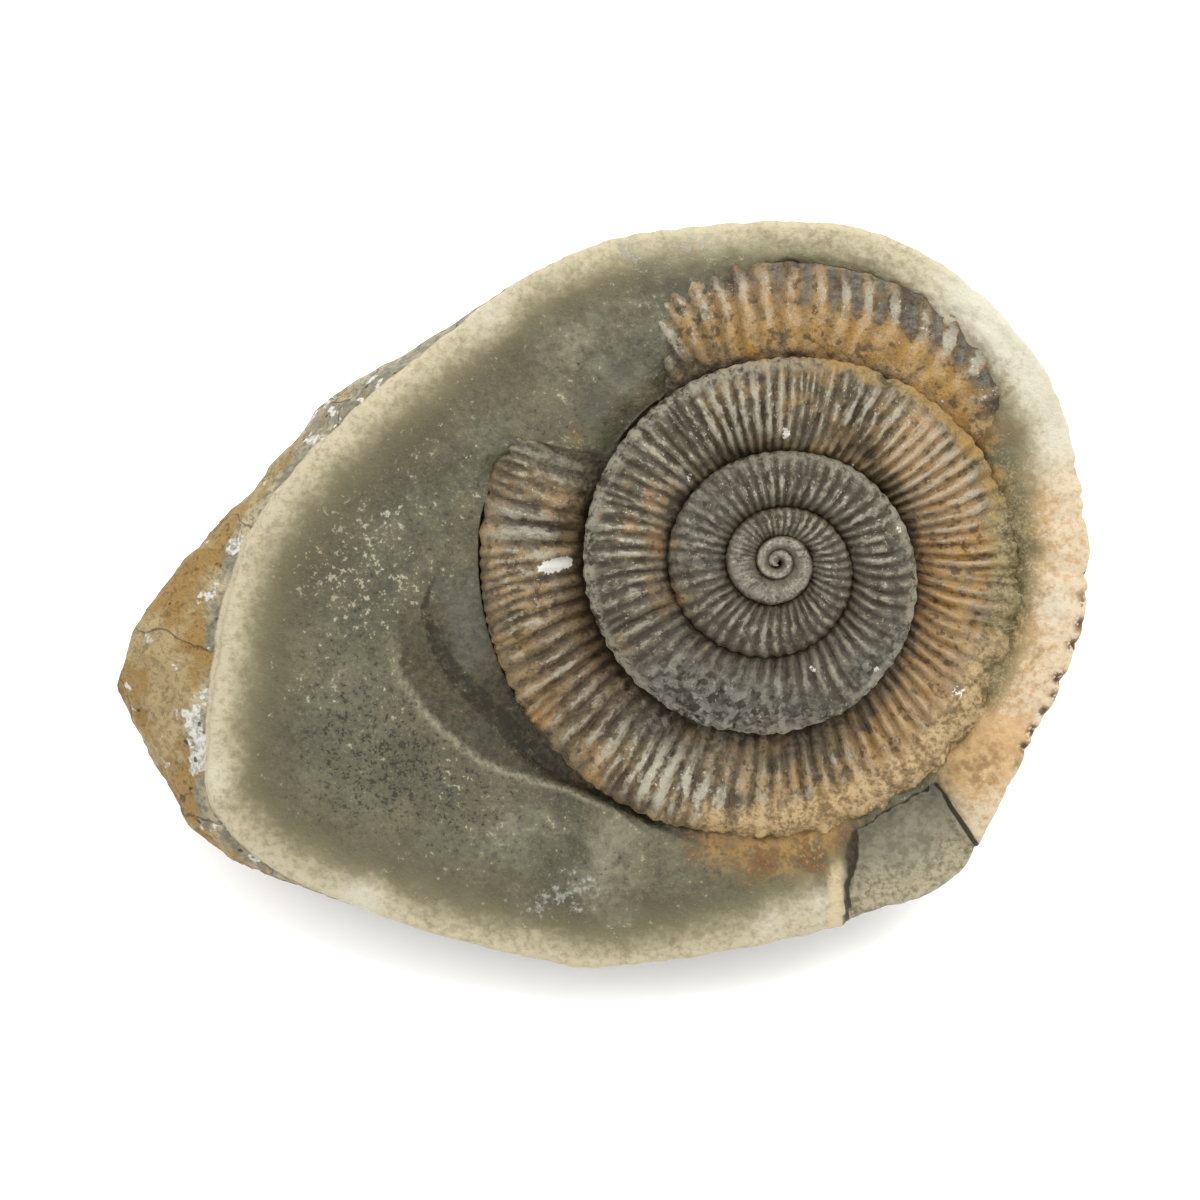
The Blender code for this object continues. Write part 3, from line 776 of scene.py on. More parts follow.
def limestone_material(settings):
    """Grey mudstone with a pale rind, stained round the shell, and a weathered crust outside."""
    material, graph, place, noises = new_material("grey_limestone", STONE_NOISES)
    middle, fine, grain = noises
    sway, grit, mixed = middle - 0.5, fine - 0.5, fine * 0.5 + middle * 0.5
    bent = graph.bent(place, 0.5, 1.6)
    rim, crust, chip, shade = graph.stored("rim_distance", "crust", "chip", "shade")
    ochre, frost, notch, smear = graph.stored("ochre", "frost", "notch", "smear")

    stone = hollow_stone(graph, inner_stone(graph, settings, place, bent, noises), fine)
    stone = stone.coats(
        (smear * 0.9, smeared_stone(mixed, grain)),
        ((shade + sway * 1.2).ramp(0.1, 0.9) * 0.65, (84, 84, 72)),
    )
    stone = pale_rind(graph, settings, stone, rim + sway * 3.4 + grit * 3.2, fine, chip)
    stone = chip_stone(graph, stone, rim + sway * 2.5, fine, mixed, chip)

    stain = (ochre + sway * 1.8 + grit * 0.9).ramp(0.14, 1.3)
    dark_rust = fine.ramp(0.38, 0.62).tint((88, 60, 34), (146, 100, 54))
    rust = middle.ramp(0.44, 0.56).tint(settings.ochre_colour, (134, 116, 78)).coats(
        ((middle * 0.6 + fine * 0.4).ramp(0.49, 0.58) * 0.75, dark_rust),
        (fine.ramp(0.42, 0.3) * 0.45, (206, 182, 132)),
    )
    white = (fine * 0.6 + grain * 0.2 + middle * 0.2 + frost * 0.15).ramp(0.6, 0.76)
    outside, relief = weathered_crust(graph, settings, place, bent, middle, fine)
    colour = stone.coats(
        (stain * 0.95, rust),
        (white * 0.48, (202, 205, 194)),
        ((crust + grit * 0.35).ramp(0.35, 0.65), outside),
        (notch * fine.ramp(0.36, 0.5), (96, 66, 36)),
    )
    sheen = fine * 0.25 + crust * 0.16 + 0.36 + chip * 0.08
    height = fine * 0.8 + grain * 0.5 + relief * crust
    finish_material(graph, colour, sheen, height, bump_depth=0.2, specular=0.18)
    return material


def inner_stone(graph, settings, place, bent, noises):
    """Colour of the mudstone inside: olive grey with darker clouds, a pale film, pits and flecks."""
    middle, fine, grain = noises
    film, pitted, flecked = graph.stored("film", "pitted", "flecked")
    cloud = (graph.noise(place, 0.06, 2, 0.6) * 0.6 + middle * 0.4).ramp(0.4, 0.6)
    swirl = graph.noise(bent, 0.16, 3, 0.65)
    crumb = fine * 0.6 + grain * 0.4
    speck = (swirl * 0.3 + crumb * 0.7 + flecked * 0.045).ramp(0.595, 0.625)
    flake = (fine * 0.8 + swirl * 0.2 + flecked * 0.08).ramp(0.645, 0.69)
    return cloud.tint(settings.matrix_dark, settings.matrix_colour).coats(
        ((film + (swirl - 0.5) * 2.2).ramp(0.3, 0.9) * 0.75, (156, 152, 128)),
        (swirl.ramp(0.46, 0.34) * 0.5, (84, 82, 64)),
        (graph.noise(place, 0.1, 2, 0.5).ramp(0.5, 0.66) * 0.35, (132, 122, 92)),
        (fine.ramp(0.58, 0.38) * 0.3, (66, 65, 52)),
        (grain.ramp(0.5, 0.72) * 0.3, (162, 154, 122)),
        ((crumb + pitted * -0.06 + 0.06).ramp(0.45, 0.4) * 0.8, (56, 55, 43)),
        (speck * 0.65, (182, 174, 138)),
        (flake * 0.6, (196, 190, 160)),
    )


def hollow_stone(graph, stone, fine):
    """Stone with the crescent mould's colours laid over it: painted highlight on the lip, painted shade
    along the crease, and a dark floor that is partly its own colour and partly painted shade and painted
    shadow of the shell.
    """
    band, slab, mould, crease, lip = graph.stored("band", "slab", "mould", "crease", "lip")
    mottle = fine.ramp(0.35, 0.65)
    return stone.coats(
        (band * 0.9, mottle.tint((62, 58, 40), (86, 80, 58))),
        (slab * 0.8, mottle.tint((82, 83, 72), (104, 104, 90))),
        # Dark floor: partly its own darker colour, partly painted shade and painted shadow of the shell
        (mould * 0.9, mottle.tint((52, 47, 32), (84, 77, 56))),
        # Painted shade along the crease
        (crease.ramp(0.25, 0.75) * mottle.ramp(1.8, 0.0) * 0.9, (50, 46, 28)),
        # Painted highlight on the lip's edge
        (lip * mottle.ramp(-0.6, 0.9) * 0.6, (182, 176, 146)),
    )


def chip_stone(graph, stone, depth, fine, mixed, chip):
    """Clean grey stone inside the chip, paler and speckled towards its rim, with painted shade on its walls.
    """
    pale = fine.ramp(0.3, 0.66).tint((136, 127, 100), (204, 192, 158))
    clean = mixed.ramp(0.35, 0.65).tint((126, 122, 98), (160, 154, 130))
    # Painted shade on the chip's walls
    wall = chip * (1 - chip) * 4
    return stone.coats(
        (chip.ramp(0.7, 0.95), clean.coats((depth.ramp(5.5, 1.5) * 0.85, pale))),
        (wall.ramp(0.15, 0.7) * 0.95, (50, 47, 32)),
        (graph.stored("strip") * fine.ramp(0.3, 0.45) * 0.85, (226, 206, 162)),
    )


def pale_rind(graph, settings, stone, depth, fine, chip):
    """Stone with the rind laid over it; depth is the distance from the rim in millimetres."""
    peach, tan, pale, marks = graph.stored("peach", "tan", "pale", "marks")
    width = settings.rim_width / MM
    depth = depth - pale * 2
    kept = 1 - chip * 0.7
    grey_side = kept * (1 - peach)
    warm = depth.ramp(5.5, 2.0).tint((222, 188, 138), settings.peach_colour)
    speck = peach.tint((176, 164, 128), (206, 158, 98))
    rind = peach.tint(settings.rim_colour, warm).coats(
        ((fine + tan * 0.12).ramp(0.44, 0.76) * 0.62, speck),
        (pale * 0.7, (236, 231, 212)),
    )
    inner_tan = fine.ramp(0.3, 0.7).tint((134, 124, 92), (154, 144, 110))
    return stone.coats(
        (depth.ramp(width * 2.1, width) * grey_side * 0.5, (98, 92, 66)),
        (depth.ramp(width * 1.25, width * 0.5) * grey_side * 0.7, inner_tan),
        (depth.ramp(width * 0.85, 0.0) * kept, rind),
        (peach * depth.ramp(width * 0.95, width * 0.45) * 0.9, rind),
        ((tan + (fine - 0.5) * 1.2).ramp(0.3, 1.0) * 0.7, (224, 184, 128)),
        (marks * fine.ramp(0.36, 0.6) * 0.35, (200, 150, 92)),
    )


def weathered_crust(graph, settings, place, bent, middle, fine):
    """Colour and relief of the outside: grey and buff rind with rust, lime, dots and hairlines."""
    bare, lime = graph.stored("bare", "lime")
    grey = graph.noise(place, 0.08, 3, 0.6).ramp(0.4, 0.6)
    buff = graph.noise(bent, 0.15, 3, 0.65)
    rusty = (graph.noise(place, 0.11, 3, 0.7) + bare * 0.28).ramp(0.55, 0.68)
    rusty_tone = fine.ramp(0.36, 0.7).tint(settings.crust_ochre, (118, 90, 46)).coats(
        (buff.ramp(0.44, 0.58) * 0.7, (196, 178, 132))
    )
    spots = (graph.noise(place, 0.28, 3, 0.65) + lime * 0.22 - bare * 0.05).ramp(0.61, 0.65)
    dots = graph.cells(bent, 0.55).ramp(0.2, 0.1) * buff.ramp(0.53, 0.46)
    hairline = graph.cells(graph.bent(place, 0.12, 14), 0.05, "DISTANCE_TO_EDGE").ramp(0.012, 0.004)
    colour = grey.tint(settings.crust_colour, (150, 145, 122)).coats(
        (buff.ramp(0.43, 0.6) * 0.85, (204, 190, 152)),
        (rusty * 0.9, rusty_tone),
        (spots * 0.9, settings.lime_colour),
        (fine.ramp(0.58, 0.38) * 0.5, (84, 76, 58)),
        (dots * 0.85, (44, 40, 34)),
        (hairline * 0.7, (86, 64, 42)),
    )
    return colour, fine + middle * 0.9


def shell_material(settings):
    """Worn, ribbed shell: painted shade in the hollows and seams, silvery crests that are partly painted
    highlight, painted glints, brown and ochre outside.
    """
    material, graph, place, (middle, fine, grain) = new_material("fossil_shell", SHELL_NOISES)
    rib, tone, turn, across, phase, slot = graph.stored("rib", "tone", "turn", "across", "phase", "slot")
    worn, veneer, warmth, dirt = graph.stored("worn", "veneer", "warmth", "dirt")
    ochre, bright, gold, glint = graph.stored("ochre", "bright", "gold", "glint")
    sway, grit, mixed = middle - 0.5, fine - 0.5, fine * 0.5 + middle * 0.5
    broad = graph.noise(place, 0.2, 2, 0.6)
    crystal = graph.node("ShaderNodeSeparateColor", {}, {0: graph.cells(place, 1.5, output="Color")})

    outer = (turn + sway * 0.8).ramp(2.8, 3.2)
    warm = (warmth + sway * 1.6).ramp(0.2, 1.0)
    stain = (ochre + sway * 1.8 + grit * 0.8).ramp(0.2, 1.1)
    brown = stain.math("MAXIMUM", warm)
    dirt = (dirt + sway * 1.2).ramp(0.1, 1.0)
    # Painted highlight, weaker where the shell is stained
    bright = bright * (1 - stain * 0.7)
    whole = 1 - worn * 0.85
    core = turn.ramp(0.95, 0.75) * across.ramp(0.15, 0.45) * across.ramp(1.0, 0.7)
    rust = middle.ramp(0.42, 0.6).tint((200, 164, 108), settings.ochre_colour).coats(
        (fine.ramp(0.5, 0.68) * 0.6, (122, 84, 44))
    )

    # Painted highlight along the rib crests, in streaks; the crests are partly pale worn shell as well
    highlight_streak = graph.noise(graph.vector(phase * 2.3, across * 5, turn), 1.0, 2, 0.6)
    highlight_streak = (highlight_streak - 0.5) * 2.6 + tone * 0.5 + grit * 1.2
    crest = (rib + highlight_streak - dirt * 0.25 + bright * 0.2).ramp(0.85, 1.55)
    body = across.ramp(0.12, 0.4) * across.ramp(1.0, 0.7)
    crest_highlight_tone = stain.math("MAXIMUM", warm * 0.7).tint(settings.silver_and_highlight_colour, (206, 172, 128))
    # Painted shade in the hollows between the ribs, less on the outer part of the last whorl
    hollow_shade = (rib + grit + highlight_streak * 0.3 + bright * 0.12).ramp(0.8, 0.2) * whole
    hollow_shade = hollow_shade * (1 - across.ramp(0.4, 0.85) * outer * 0.45)
    calm = turn.ramp(2.95, 3.08) * turn.ramp(3.5, 3.34)
    hollow_shade_depth = 0.88 - brown * 0.48 - bright * 0.1 - outer * 0.1 - calm * 0.2
    inner_shade = across.ramp(0.5, 0.0) * (1 - stain * 0.8) * turn.ramp(0.9, 1.6)
    # Painted shade along the seams between the whorls
    seam_shade = (across + grit * 0.1).ramp(0.14, 0.02) * (1 - stain * 0.6)
    keel = across.ramp(0.84, 0.93) * turn.ramp(1.6, 2.4) * turn.ramp(3.1, 2.95) * mixed.ramp(0.42, 0.54)
    # Painted glints: small bright specks on the rib crests
    crest_glints = (grain * 0.6 + fine * 0.4 + rib * 0.05).ramp(0.635, 0.66) * body * (0.5 + bright * 0.5)
    slots = slot * middle.ramp(0.4, 0.55)
    golden = (fine * 0.6 + middle * 0.4).ramp(0.4, 0.6).tint((138, 110, 68), (218, 188, 138))
    ending = (turn + sway * 0.1).ramp(3.785, 3.82) * turn.ramp(3.94, 3.9)
    white = (glint + grit * 2).ramp(0.6, 0.85)

    colour = outer.tint(settings.charcoal_colour, settings.umber_colour).coats(
        (warm * 0.8, settings.warm_colour),
        (warm * mixed.ramp(0.46, 0.58) * 0.6, (150, 100, 66)),
        (broad.ramp(0.5, 0.62) * outer * 0.7, (190, 158, 110)),
        (broad.ramp(0.48, 0.36) * (outer * 0.5 + 0.2) * (1 - warm), (80, 62, 42)),
        (worn * 0.8, crystal.ramp(0.1, 0.9).tint((46, 45, 39), (154, 152, 140))),
        (core * 0.7, (156, 149, 134)),
        (stain * 0.85, rust),
        (graph.noise(place, 0.85, 2, 0.65).ramp(0.48, 0.36) * 0.7, (62, 50, 34)),
        (dirt * 0.5, (78, 62, 44)),
        # Pale crests, partly worn shell and partly painted highlight
        (crest * body * (outer * 0.15 + bright * 0.22 + 0.54) * whole, crest_highlight_tone),
        (grain.ramp(0.52, 0.64) * 0.35, (62, 54, 40)),
        # Painted shade in the rib hollows
        (hollow_shade * hollow_shade_depth, (brown * 0.85).tint(settings.groove_shade_colour, (106, 74, 46))),
        (inner_shade * (0.36 - outer * 0.24), (58, 50, 37)),
        # Painted shade in the seams
        (seam_shade * (0.7 - brown * 0.4), settings.groove_shade_colour),
        (keel * 0.7, (170, 165, 145)),
        # Painted glints on the crests
        (crest_glints * 0.8, (222, 219, 206)),
        (slots * 0.8, fine.ramp(0.35, 0.65).tint((80, 82, 78), (126, 124, 112))),
        (
            (veneer * 1.2 + sway * 2).ramp(0.1, 0.9) * veneer.ramp(0.0, 0.3),
            smeared_stone(mixed, grain).coats((stain * 0.6, rust)),
        ),
        ((gold + sway * 1.6).ramp(0.2, 1.0) * 0.75, golden),
        (ending * 0.85, fine.ramp(0.4, 0.6).tint((92, 88, 70), (136, 131, 108))),
        (white, (246, 243, 232)),
    )
    gloss = fine * 0.35 + 0.2 + stain * 0.14 + veneer * 0.15 - white * 0.1
    finish_material(graph, colour, gloss, fine * 0.6 + grain * 0.6, bump_depth=0.2, specular=0.22)
    return material


def floor_material(settings):
    """Pale matt paper."""
    material, graph, place, (mottle, bumps) = new_material("pale_floor", FLOOR_NOISES)
    colour = (mottle * 0.04).tint(settings.floor_colour, Color((0.8, 0.8, 0.79)))
    finish_material(graph, colour, mottle * 0.05 + 0.75, bumps, bump_depth=0.004, specular=0.2)
    return material


def curve_over(graph, place, table, curved=False):
    """Field value at a place from a table's rows, through a Float Curve."""
    places, values = np.array(table, float).T
    start, end = float(places[0]), float(places[-1])
    if curved:
        places = np.arange(start, end + 1e-6, 0.125)
        values = curved_through(table, places)
    low, high = float(values.min()), float(values.max())
    points = list(zip(((places - start) / (end - start)).tolist(), ((values - low) / (high - low)).tolist()))
    share = (place - start) / (end - start)
    return graph.node("ShaderNodeFloatCurve", {"points": points}, {"Value": share}) * (high - low) + low


def shell_inputs(tree):
    """Add the tree's named inputs and return their identifiers by name."""
    sockets = {"Geometry": tree.interface.new_socket("Geometry", socket_type="NodeSocketGeometry")}
    for name, default, low, high in (
        ("Columns", 2600, 100, 6000),
        ("Rows", 33, 12, 64),
        ("Rib Relief", 0.064, 0.0, 0.2),
        ("Rib Lean", 0.7, -3.0, 3.0),
        ("Split Share", 0.15, 0.0, 1.0),
        ("Section Height", 1.0, 0.0, 3.0),
        ("Upper Share", 0.8, 0.2, 1.0),
        ("Seed", 3.7, 0.0, 100.0),
    ):
        kind = "NodeSocketInt" if isinstance(default, int) else "NodeSocketFloat"
        socket = tree.interface.new_socket(name, socket_type=kind)
        socket.default_value, socket.min_value, socket.max_value = default, low, high
        sockets[name] = socket
    sockets["Material"] = tree.interface.new_socket("Material", socket_type="NodeSocketMaterial")
    return {name: socket.identifier for name, socket in sockets.items()}


def shell_tree():
    """Geometry Nodes that sweep the whorl's section along the coil and raise the ribs on it."""
    tree = bpy.data.node_groups.new("coiled_shell", "GeometryNodeTree")
    names = shell_inputs(tree)
    tree.interface.new_socket("Geometry", in_out="OUTPUT", socket_type="NodeSocketGeometry")
    graph = Graph(tree)
    given = {socket.name: Value(graph, socket) for socket in tree.nodes.new("NodeGroupInput").outputs}
    mesh = graph.node(
        "GeometryNodeMeshGrid", {},
        {"Size X": 1.0, "Size Y": 1.0, "Vertices X": given["Columns"], "Vertices Y": given["Rows"]},
    )
    position = graph.node("GeometryNodeInputPosition")
    along, around = (
        graph.node("ShaderNodeSeparateXYZ", {}, {0: position}, output=axis) + 0.5 for axis in ("X", "Y")
    )

    # The coil without its ribs: turns, whorl edges, and the section from its underside to its crest
    rib_place = along * float(RIB_COUNT[-1][1])
    turn = curve_over(graph, rib_place, [(ribs, turns) for turns, ribs in RIB_COUNT])
    outer = curve_over(graph, turn, WHORL_EDGE_LOGS, curved=True).math("EXPONENT")
    inner = curve_over(graph, turn - 1, WHORL_EDGE_LOGS, curved=True).math("EXPONENT")
    inner = inner - 0.25 * turn.ramp(1.0, 0.0) - (outer - inner) * 0.05
    ends = along.ramp(0.0, 0.004) * along.ramp(1.0, 0.988)
    width = (outer - inner) * ends
    inner = (outer + inner) * 0.5 - width * 0.5

    upper = given["Upper Share"]
    angle = (around / upper).math("MINIMUM", 1.0) + ((around - upper) / (1 - upper)).math("MAXIMUM", 0.0)
    rise = (angle * math.pi).math("SINE")
    facing = (angle * math.pi).math("COSINE") * -1
    across = facing * 0.5 + 0.5
    skew = 1 - turn.ramp(1.6, 0.0) * 0.35 - turn.ramp(3.2, 3.5) * 0.15
    radius = inner + width * across**skew

    half_height = width * curve_over(graph, turn, SECTION_HEIGHT) * given["Section Height"]
    level = curve_over(graph, turn, WHORL_CREST) - half_height
    top = rise.math("MAXIMUM", 0.0)
    depth = (level + 5 - 3.4 * (radius / 32).math("MINIMUM", 1.0) ** 2) * ends
    seam_depth = 0.14 + turn.ramp(3.4, 3.6) * turn.ramp(3.85, 3.75) * 0.1 - turn.ramp(3.85, 3.95) * 0.12
    seam_depth = seam_depth - turn.ramp(2.9, 3.05) * turn.ramp(3.4, 3.25) * 0.09
    inner_drop = width * (1 - across) ** 2 * seam_depth * turn.ramp(0.0, 1.0)
    height = level + half_height * top**0.8 + depth * rise.math("MINIMUM", 0.0) - inner_drop

    # The ribs: they wander and lean, some fork in two, and the last band has slots in their place
    bearing = (0.25 - turn) * (2 * math.pi)
    flat_u = bearing.math("COSINE")
    flat_v = bearing.math("SINE")
    seeded = graph.vector_math("ADD", graph.vector(radius * flat_u, radius * flat_v, height), given["Seed"])
    wander = (graph.noise(seeded, 0.09, 1) - 0.5) * 1.4 + (graph.noise(seeded, 0.4, 0) - 0.5) * 0.16
    phase = rib_place + wander + given["Rib Lean"] * (across - 0.35) * (across - 0.35)
    roundness = 1.05 + turn.ramp(2.85, 3.15) * 0.25
    tent, half_tent = (1 - (part.math("FRACT") * 2 - 1).math("ABSOLUTE") for part in (phase, phase * 2))
    single, double = (1 - (1 - part) ** roundness for part in (tent, half_tent))
    chance = graph.node(
        "ShaderNodeTexWhiteNoise", {"noise_dimensions": "1D"}, {"W": phase.math("FLOOR") + given["Seed"]}
    )
    often = given["Split Share"] + turn.ramp(3.5, 3.6) * turn.ramp(3.92, 3.85) * 0.35
    forks = chance.math("LESS_THAN", often) * across.ramp(0.5, 0.68) * turn.ramp(1.6, 2.2)
    ridge = single + (double - single) * forks
    last_band = turn.ramp(3.95, 4.02)
    slots = last_band * across.ramp(0.42, 0.6)
    ridge = ridge + (tent.ramp(0.42, 0.8) - ridge) * slots

    # How high they stand: less near the seams, nothing at the core and underneath, and uneven all over
    patchy = graph.noise(seeded, 0.3, 3, 0.6).ramp(0.3, 0.66)
    strength = (chance * 0.7 + 0.55) * (patchy * 0.8 + 0.5)
    saddle = (((across - 0.68) / 0.07) ** 2 * -1).math("EXPONENT") * turn.ramp(3.0, 2.6)
    wall = across.ramp(0.5, 0.6)
    fade = across.ramp(0.0, 0.1) * (1 - across.ramp(0.86, 1.0) * 0.4) * (1 - saddle * 0.4)
    fade = fade * rise.ramp(wall * -0.5 - 0.05, wall * -0.4 + 0.12)
    early = turn.ramp(0.55, 1.05)
    relief = given["Rib Relief"] * width * strength * fade * early * (1 - last_band * 0.35)
    upper_side = rise.ramp(-0.05, 0.2) * turn.ramp(-1.0, 1.5)
    crumbs = (graph.noise(seeded, 0.75, 4, 0.7) - 0.5) * (1.5 - patchy * 0.7) * upper_side
    crumbs = crumbs + (graph.noise(seeded, 0.22) - 0.5) * 1.3 * upper_side * turn.ramp(1.8, 3.0)
    lift = relief * (ridge - 0.45) + crumbs
    radius = radius + lift * facing * 0.6
    height = height + lift * (top * 0.6 + 0.4)
    place = graph.vector(radius * flat_u, radius * flat_v, height)

    stored = {
        "turn": turn, "across": across, "rib": ridge * fade * early + (1 - early) * 0.7,
        "relief": relief * ridge, "tone": chance, "phase": phase, "slot": slots * tent.ramp(0.5, 0.3),
    }
    steps = [("StoreNamedAttribute", {"Name": name, "Value": value}) for name, value in stored.items()]
    steps += [
        ("SetPosition", {"Position": place}), ("MergeByDistance", {"Distance": 0.0015}),
        ("RealizeInstances", {}), ("SetMaterial", {"Material": given["Material"]}),
    ]
    for kind, sockets in steps:
        mesh = graph.node("GeometryNode" + kind, {}, {"Geometry": mesh, **sockets})
    tree.links.new(mesh.socket, tree.nodes.new("NodeGroupOutput").inputs["Geometry"])
    return tree, names


def swept_mesh(settings, material):
    """Run the shell's node tree and keep its result as a plain mesh, in the face's frame."""
    tree, names = shell_tree()
    holder = bpy.data.objects.new("coil_holder", bpy.data.meshes.new("coil_holder"))
    bpy.context.scene.collection.objects.link(holder)
    modifier = holder.modifiers.new("coiled_shell", "NODES")
    modifier.node_group = tree
    modifier[names["Columns"]] = int(RIB_COUNT[-1][1] * settings.samples_per_rib)
    modifier[names["Rows"]] = settings.section_samples
    modifier[names["Rib Relief"]] = settings.rib_relief
    modifier[names["Rib Lean"]] = settings.rib_lean
    modifier[names["Split Share"]] = settings.split_share
    modifier[names["Material"]] = material
    depsgraph = bpy.context.evaluated_depsgraph_get()
    mesh = bpy.data.meshes.new_from_object(
        holder.evaluated_get(depsgraph), preserve_all_data_layers=True, depsgraph=depsgraph
    )
    holder.modifiers.remove(modifier)
    bpy.data.objects.remove(holder)
    mesh.name = "ammonite_shell"
    return mesh


class NODULE_OT_shell(bpy.types.Operator):
    """Sweep the coiled, ribbed shell and set it in the face"""

    bl_idname = "nodule.shell"
    bl_label = "Ammonite Shell"
    bl_options = {"REGISTER", "UNDO"}

    def execute(self, context):
        settings = context.scene.nodule_shell
        material = shell_material(settings)
        mesh = swept_mesh(settings, material)
        places = positions_of(mesh)
        u, v = places[:, 0], places[:, 1]
        turn, across, relief, rib = (values_of(mesh, name) for name in ("turn", "across", "relief", "rib"))
        names = ("worn", "warmth", "dirt", "ochre", "glint", "bright")
        layers = {name: soft_places(u, v, PLACES[name]) for name in names}
        # Worn places lose their ribs and crumble
        worn = np.clip(layers["worn"], 0, 1)
        holes = soft_places(u, v, SHELL_HOLES)
        top = np.clip(places[:, 2] + 1, 0, 1)
        places[:, 2] -= (worn * relief + holes) * top
        eroded = np.flatnonzero(worn * top > 0.15)
        crumble = rough(places[eroded], 1.3, 12)
        places[eroded, 2] += (0.9 * crumble - 0.15) * worn[eroded] * top[eroded]

        # The last whorl's edge is sunken on the right, ragged where it is worn, and sinks at its end
        sunken = smooth(turn, 3, 3.1) * smooth(turn, 3.66, 3.5) * smooth(across, 0.8, 1)
        ragged = worn * smooth(turn, 3.1, 3) * smooth(across, 0.72, 1)
        edge = np.flatnonzero((sunken + ragged) * top > 0.02)
        bitten = rough(places[edge], 2.6, 31)
        last_end = smooth(turn, 4.05, 4.15) * smooth(across, 0.45, 1)
        gold = smooth(turn, 3.26, 3.36) * smooth(turn, 3.62, 3.48) * smooth(across, 0.4, 0.75)
        places[:, 2] -= (last_end * 1.6 + gold * relief * 0.7) * top
        places[edge, 2] -= (sunken[edge] * (0.9 + bitten) + ragged[edge] * (0.7 + bitten * 1.2)) * top[edge]

        layers["worn"] = worn
        # Painted highlight, stronger towards the top of the face, where more light falls
        layers["bright"] += smooth(v, -10, 14)
        layers["veneer"] = np.maximum(stone_veneer(u, v), sunken)
        layers["gold"] = gold
        layers["rib"] = rib * (1 - 0.7 * np.clip(holes, 0, 1))
        add_attributes(mesh, layers)
        mesh.attributes.remove(mesh.attributes["relief"])
        add_piece(mesh, to_world(places), material, "ammonite")
        return {"FINISHED"}


class NODULE_OT_rock(bpy.types.Operator):
    """Build the rock half round the shell's pocket, with its rim, crescent mould, chip and crust"""

    bl_idname = "nodule.rock"
    bl_label = "Nodule Rock"
    bl_options = {"REGISTER", "UNDO"}

    def execute(self, context):
        settings = context.scene.nodule_rock
        rim = even_points_on(FACE_OUTLINE, RAYS)
        degrees = np.degrees(np.arctan2(rim[:, 1], rim[:, 0])) % 360
        edge_noise = rough(np.concatenate((rim, 0 * rim[:, :1]), axis=1), 2.5, 11)
        notches = sector(degrees, "rim notches") * 0.7 * (1 - rib_marks(degrees))
        nicks = notches * np.clip(0.5 + edge_noise, 0.1, 1) + 0.25 * edge_noise
        rim = rim * (1 - nicks / np.linalg.norm(rim, axis=1))[:, None]
        # Rings over the face and down the side, then the crust's lumps along the side's normals
        face, radius = face_grid(rim, degrees)
        grid = np.concatenate((to_world(face), side_grid(to_world(face[-1]))))
        side = slice(len(face), None)
        down = np.zeros(grid.shape[:2])
        down[side] = np.cumsum(np.linalg.norm(np.diff(grid[len(face) - 1:], axis=0), axis=2), axis=0)
        lift = np.zeros(grid.shape[:2])
        lift[side] = crust_lift(grid[side], down[side], degrees, settings.crust_relief / MM)
        grid = grid + grid_normals(grid) * lift[..., None]
        grid[..., 2] = np.maximum(grid[..., 2], 0)
        middle = to_world(np.array((0, 0, -POCKET_MIDDLE_DEPTH)))
        mesh = closed_mesh("nodule_rock", grid, middle, BASE_CENTRE * (1, 1, 0))
        self.paint(mesh, face, radius, degrees, rim, down[side])
        add_piece(mesh, positions_of(mesh), limestone_material(settings), "nodule_half")
        return {"FINISHED"}

    def paint(self, mesh, face, radius, degrees, rim, down):
        """Store what changes over the rock as numbers that its material reads."""
        u, v = face[..., 0], face[..., 1]
        turned = np.broadcast_to(degrees, radius.shape)
        from_rim = rim_distance(face, rim)
        peach = sector(turned, "peach rind")
        notch = smooth(turned, 316, 322) * smooth(turned, 357, 350) * smooth(rib_marks(turned), 0.95, 0.7)
        names = ("ochre", "frost", "film", "pitted", "flecked", "tan", "pale", "shade")
        layers = {name: soft_places(u, v, PLACES[name]) for name in names}
        layers.update({
            "pale": np.clip(layers["pale"], 0, 1),
            "shade": np.clip(layers["shade"], 0, 1),
            "rim_distance": from_rim / through(RIND_WIDTH, turned, wrap=360),
            "crust": 0 * radius,
            "peach": peach,
            "marks": peach * (1 - rib_marks(turned)) * smooth(from_rim, 6, 0.5),
            "notch": notch * smooth(from_rim, 1.3, 0.5),
            "smear": sector(turned, "smeared stone"),
            "chip": chip_share(u, v),
            "strip": smooth(u, 5.4, 5.9) * smooth(u, 7.3, 6.9) * smooth(v, -32, -34.5),
        })
        layers.update(crescent_layers(turned, radius))
        on_side = {
            "crust": smooth(down, 0, 0.5),
            "peach": peach[-1] + 0 * down,
            "notch": notch[-1] * smooth(down, 2.4, 0.6),
        }
        for name, values in layers.items():
            values = np.concatenate((values, on_side.get(name, 0 * down)))
            layers[name] = np.concatenate((values.ravel(), [values[0].mean(), values[-1].mean()]))
        places = positions_of(mesh)
        below = np.concatenate((0 * radius.ravel(), down.ravel(), (0, 50)))
        layers["bare"] = smooth(places[:, 0], -24, -40) * smooth(below, 1, 4.5)
        layers["lime"] = soft_places(*to_face(places).T[:2], PLACES["lime"])
        add_attributes(mesh, layers)


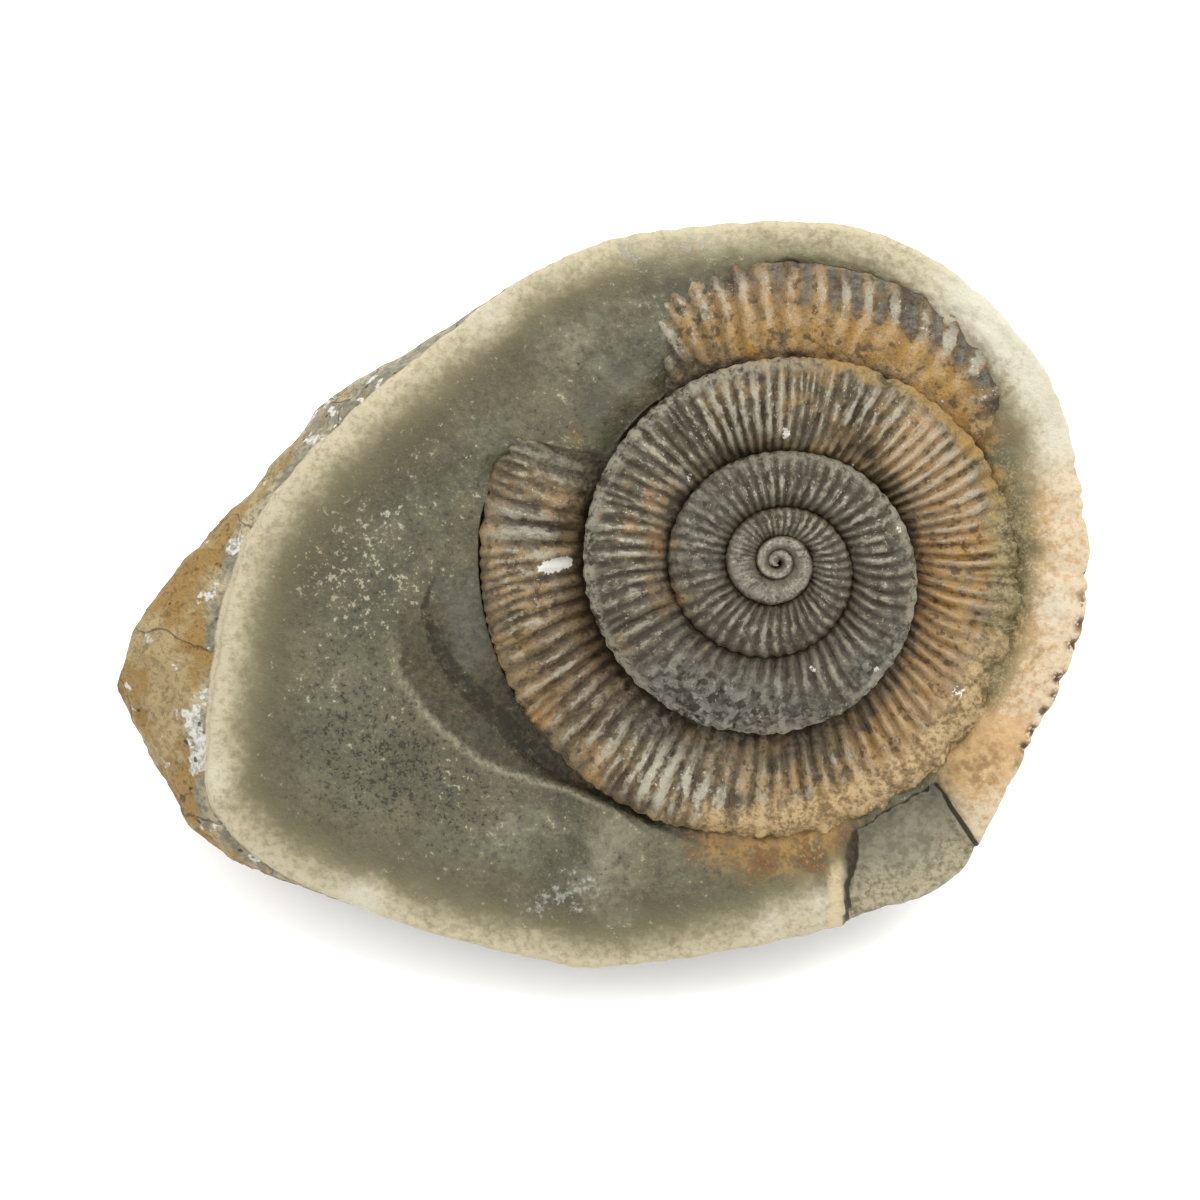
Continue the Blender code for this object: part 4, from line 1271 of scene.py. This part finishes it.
class NODULE_OT_stage(bpy.types.Operator):
    """Add the pale floor, the soft lights and the camera"""

    bl_idname = "nodule.stage"
    bl_label = "Floor, Lights and Camera"
    bl_options = {"REGISTER", "UNDO"}

    def execute(self, context):
        settings = context.scene.nodule_stage
        scene = context.scene
        mesh = bpy.data.meshes.new("floor")
        corners = [(FLOOR_REACH * x, FLOOR_REACH * y, 0) for x, y in ((-1, -1), (1, -1), (1, 1), (-1, 1))]
        mesh.from_pydata(corners, [], [(0, 1, 2, 3)])
        mesh.materials.append(floor_material(settings))
        floor = bpy.data.objects.new("floor", mesh)
        scene.collection.objects.link(floor)

        world = bpy.data.worlds.new("soft_room")
        world.use_nodes = True
        background = world.node_tree.nodes["Background"]
        background.inputs["Color"].default_value = (1.0, 1.0, 1.0, 1.0)
        background.inputs["Strength"].default_value = ROOM_LIGHT
        scene.world = world
        scene.view_settings.view_transform = "Standard"
        for name, (place, size, share) in LIGHTS.items():
            light = bpy.data.lights.new(name, "AREA")
            light.size = size
            light.energy = settings.key_power * share
            self.aim(scene, name, light, Vector(place), LIT_POINT)

        rise = settings.camera_rise
        away = Vector((0.0, -math.cos(rise), math.sin(rise)))
        camera = bpy.data.cameras.new("camera")
        camera.lens = settings.camera_lens
        camera.sensor_width = 36.0
        place = CAMERA_TARGET + away * settings.camera_distance
        scene.camera = self.aim(scene, "camera", camera, place, CAMERA_TARGET)
        return {"FINISHED"}

    def aim(self, scene, name, data, place, target):
        """Put a light or the camera at a place, looking at a target."""
        item = bpy.data.objects.new(name, data)
        item.location = place
        item.rotation_euler = (target - place).to_track_quat("-Z", "Y").to_euler()
        scene.collection.objects.link(item)
        return item


class NODULE_PT_panel(bpy.types.Panel):
    bl_label = "Ammonite Nodule"
    bl_idname = "NODULE_PT_panel"
    bl_space_type = "VIEW_3D"
    bl_region_type = "UI"
    bl_category = "Nodule"

    def draw(self, context):
        for name, group in GROUPS.items():
            box = self.layout.box()
            box.operator(name.replace("_", "."))
            for setting in group.__annotations__:
                box.prop(getattr(context.scene, name), setting)


# The settings of each operator, by the name under which the scene keeps them
GROUPS = {"nodule_shell": ShellSettings, "nodule_rock": RockSettings, "nodule_stage": StageSettings}
CLASSES = (*GROUPS.values(), NODULE_OT_shell, NODULE_OT_rock, NODULE_OT_stage, NODULE_PT_panel)


def register():
    for item in CLASSES:
        bpy.utils.register_class(item)
    for name, group in GROUPS.items():
        setattr(bpy.types.Scene, name, PointerProperty(type=group))


def unregister():
    for name in GROUPS:
        delattr(bpy.types.Scene, name)
    for item in reversed(CLASSES):
        bpy.utils.unregister_class(item)


def main():
    register()
    bpy.ops.nodule.shell()
    bpy.ops.nodule.rock()
    bpy.ops.nodule.stage()


if __name__ == "__main__":
    main()
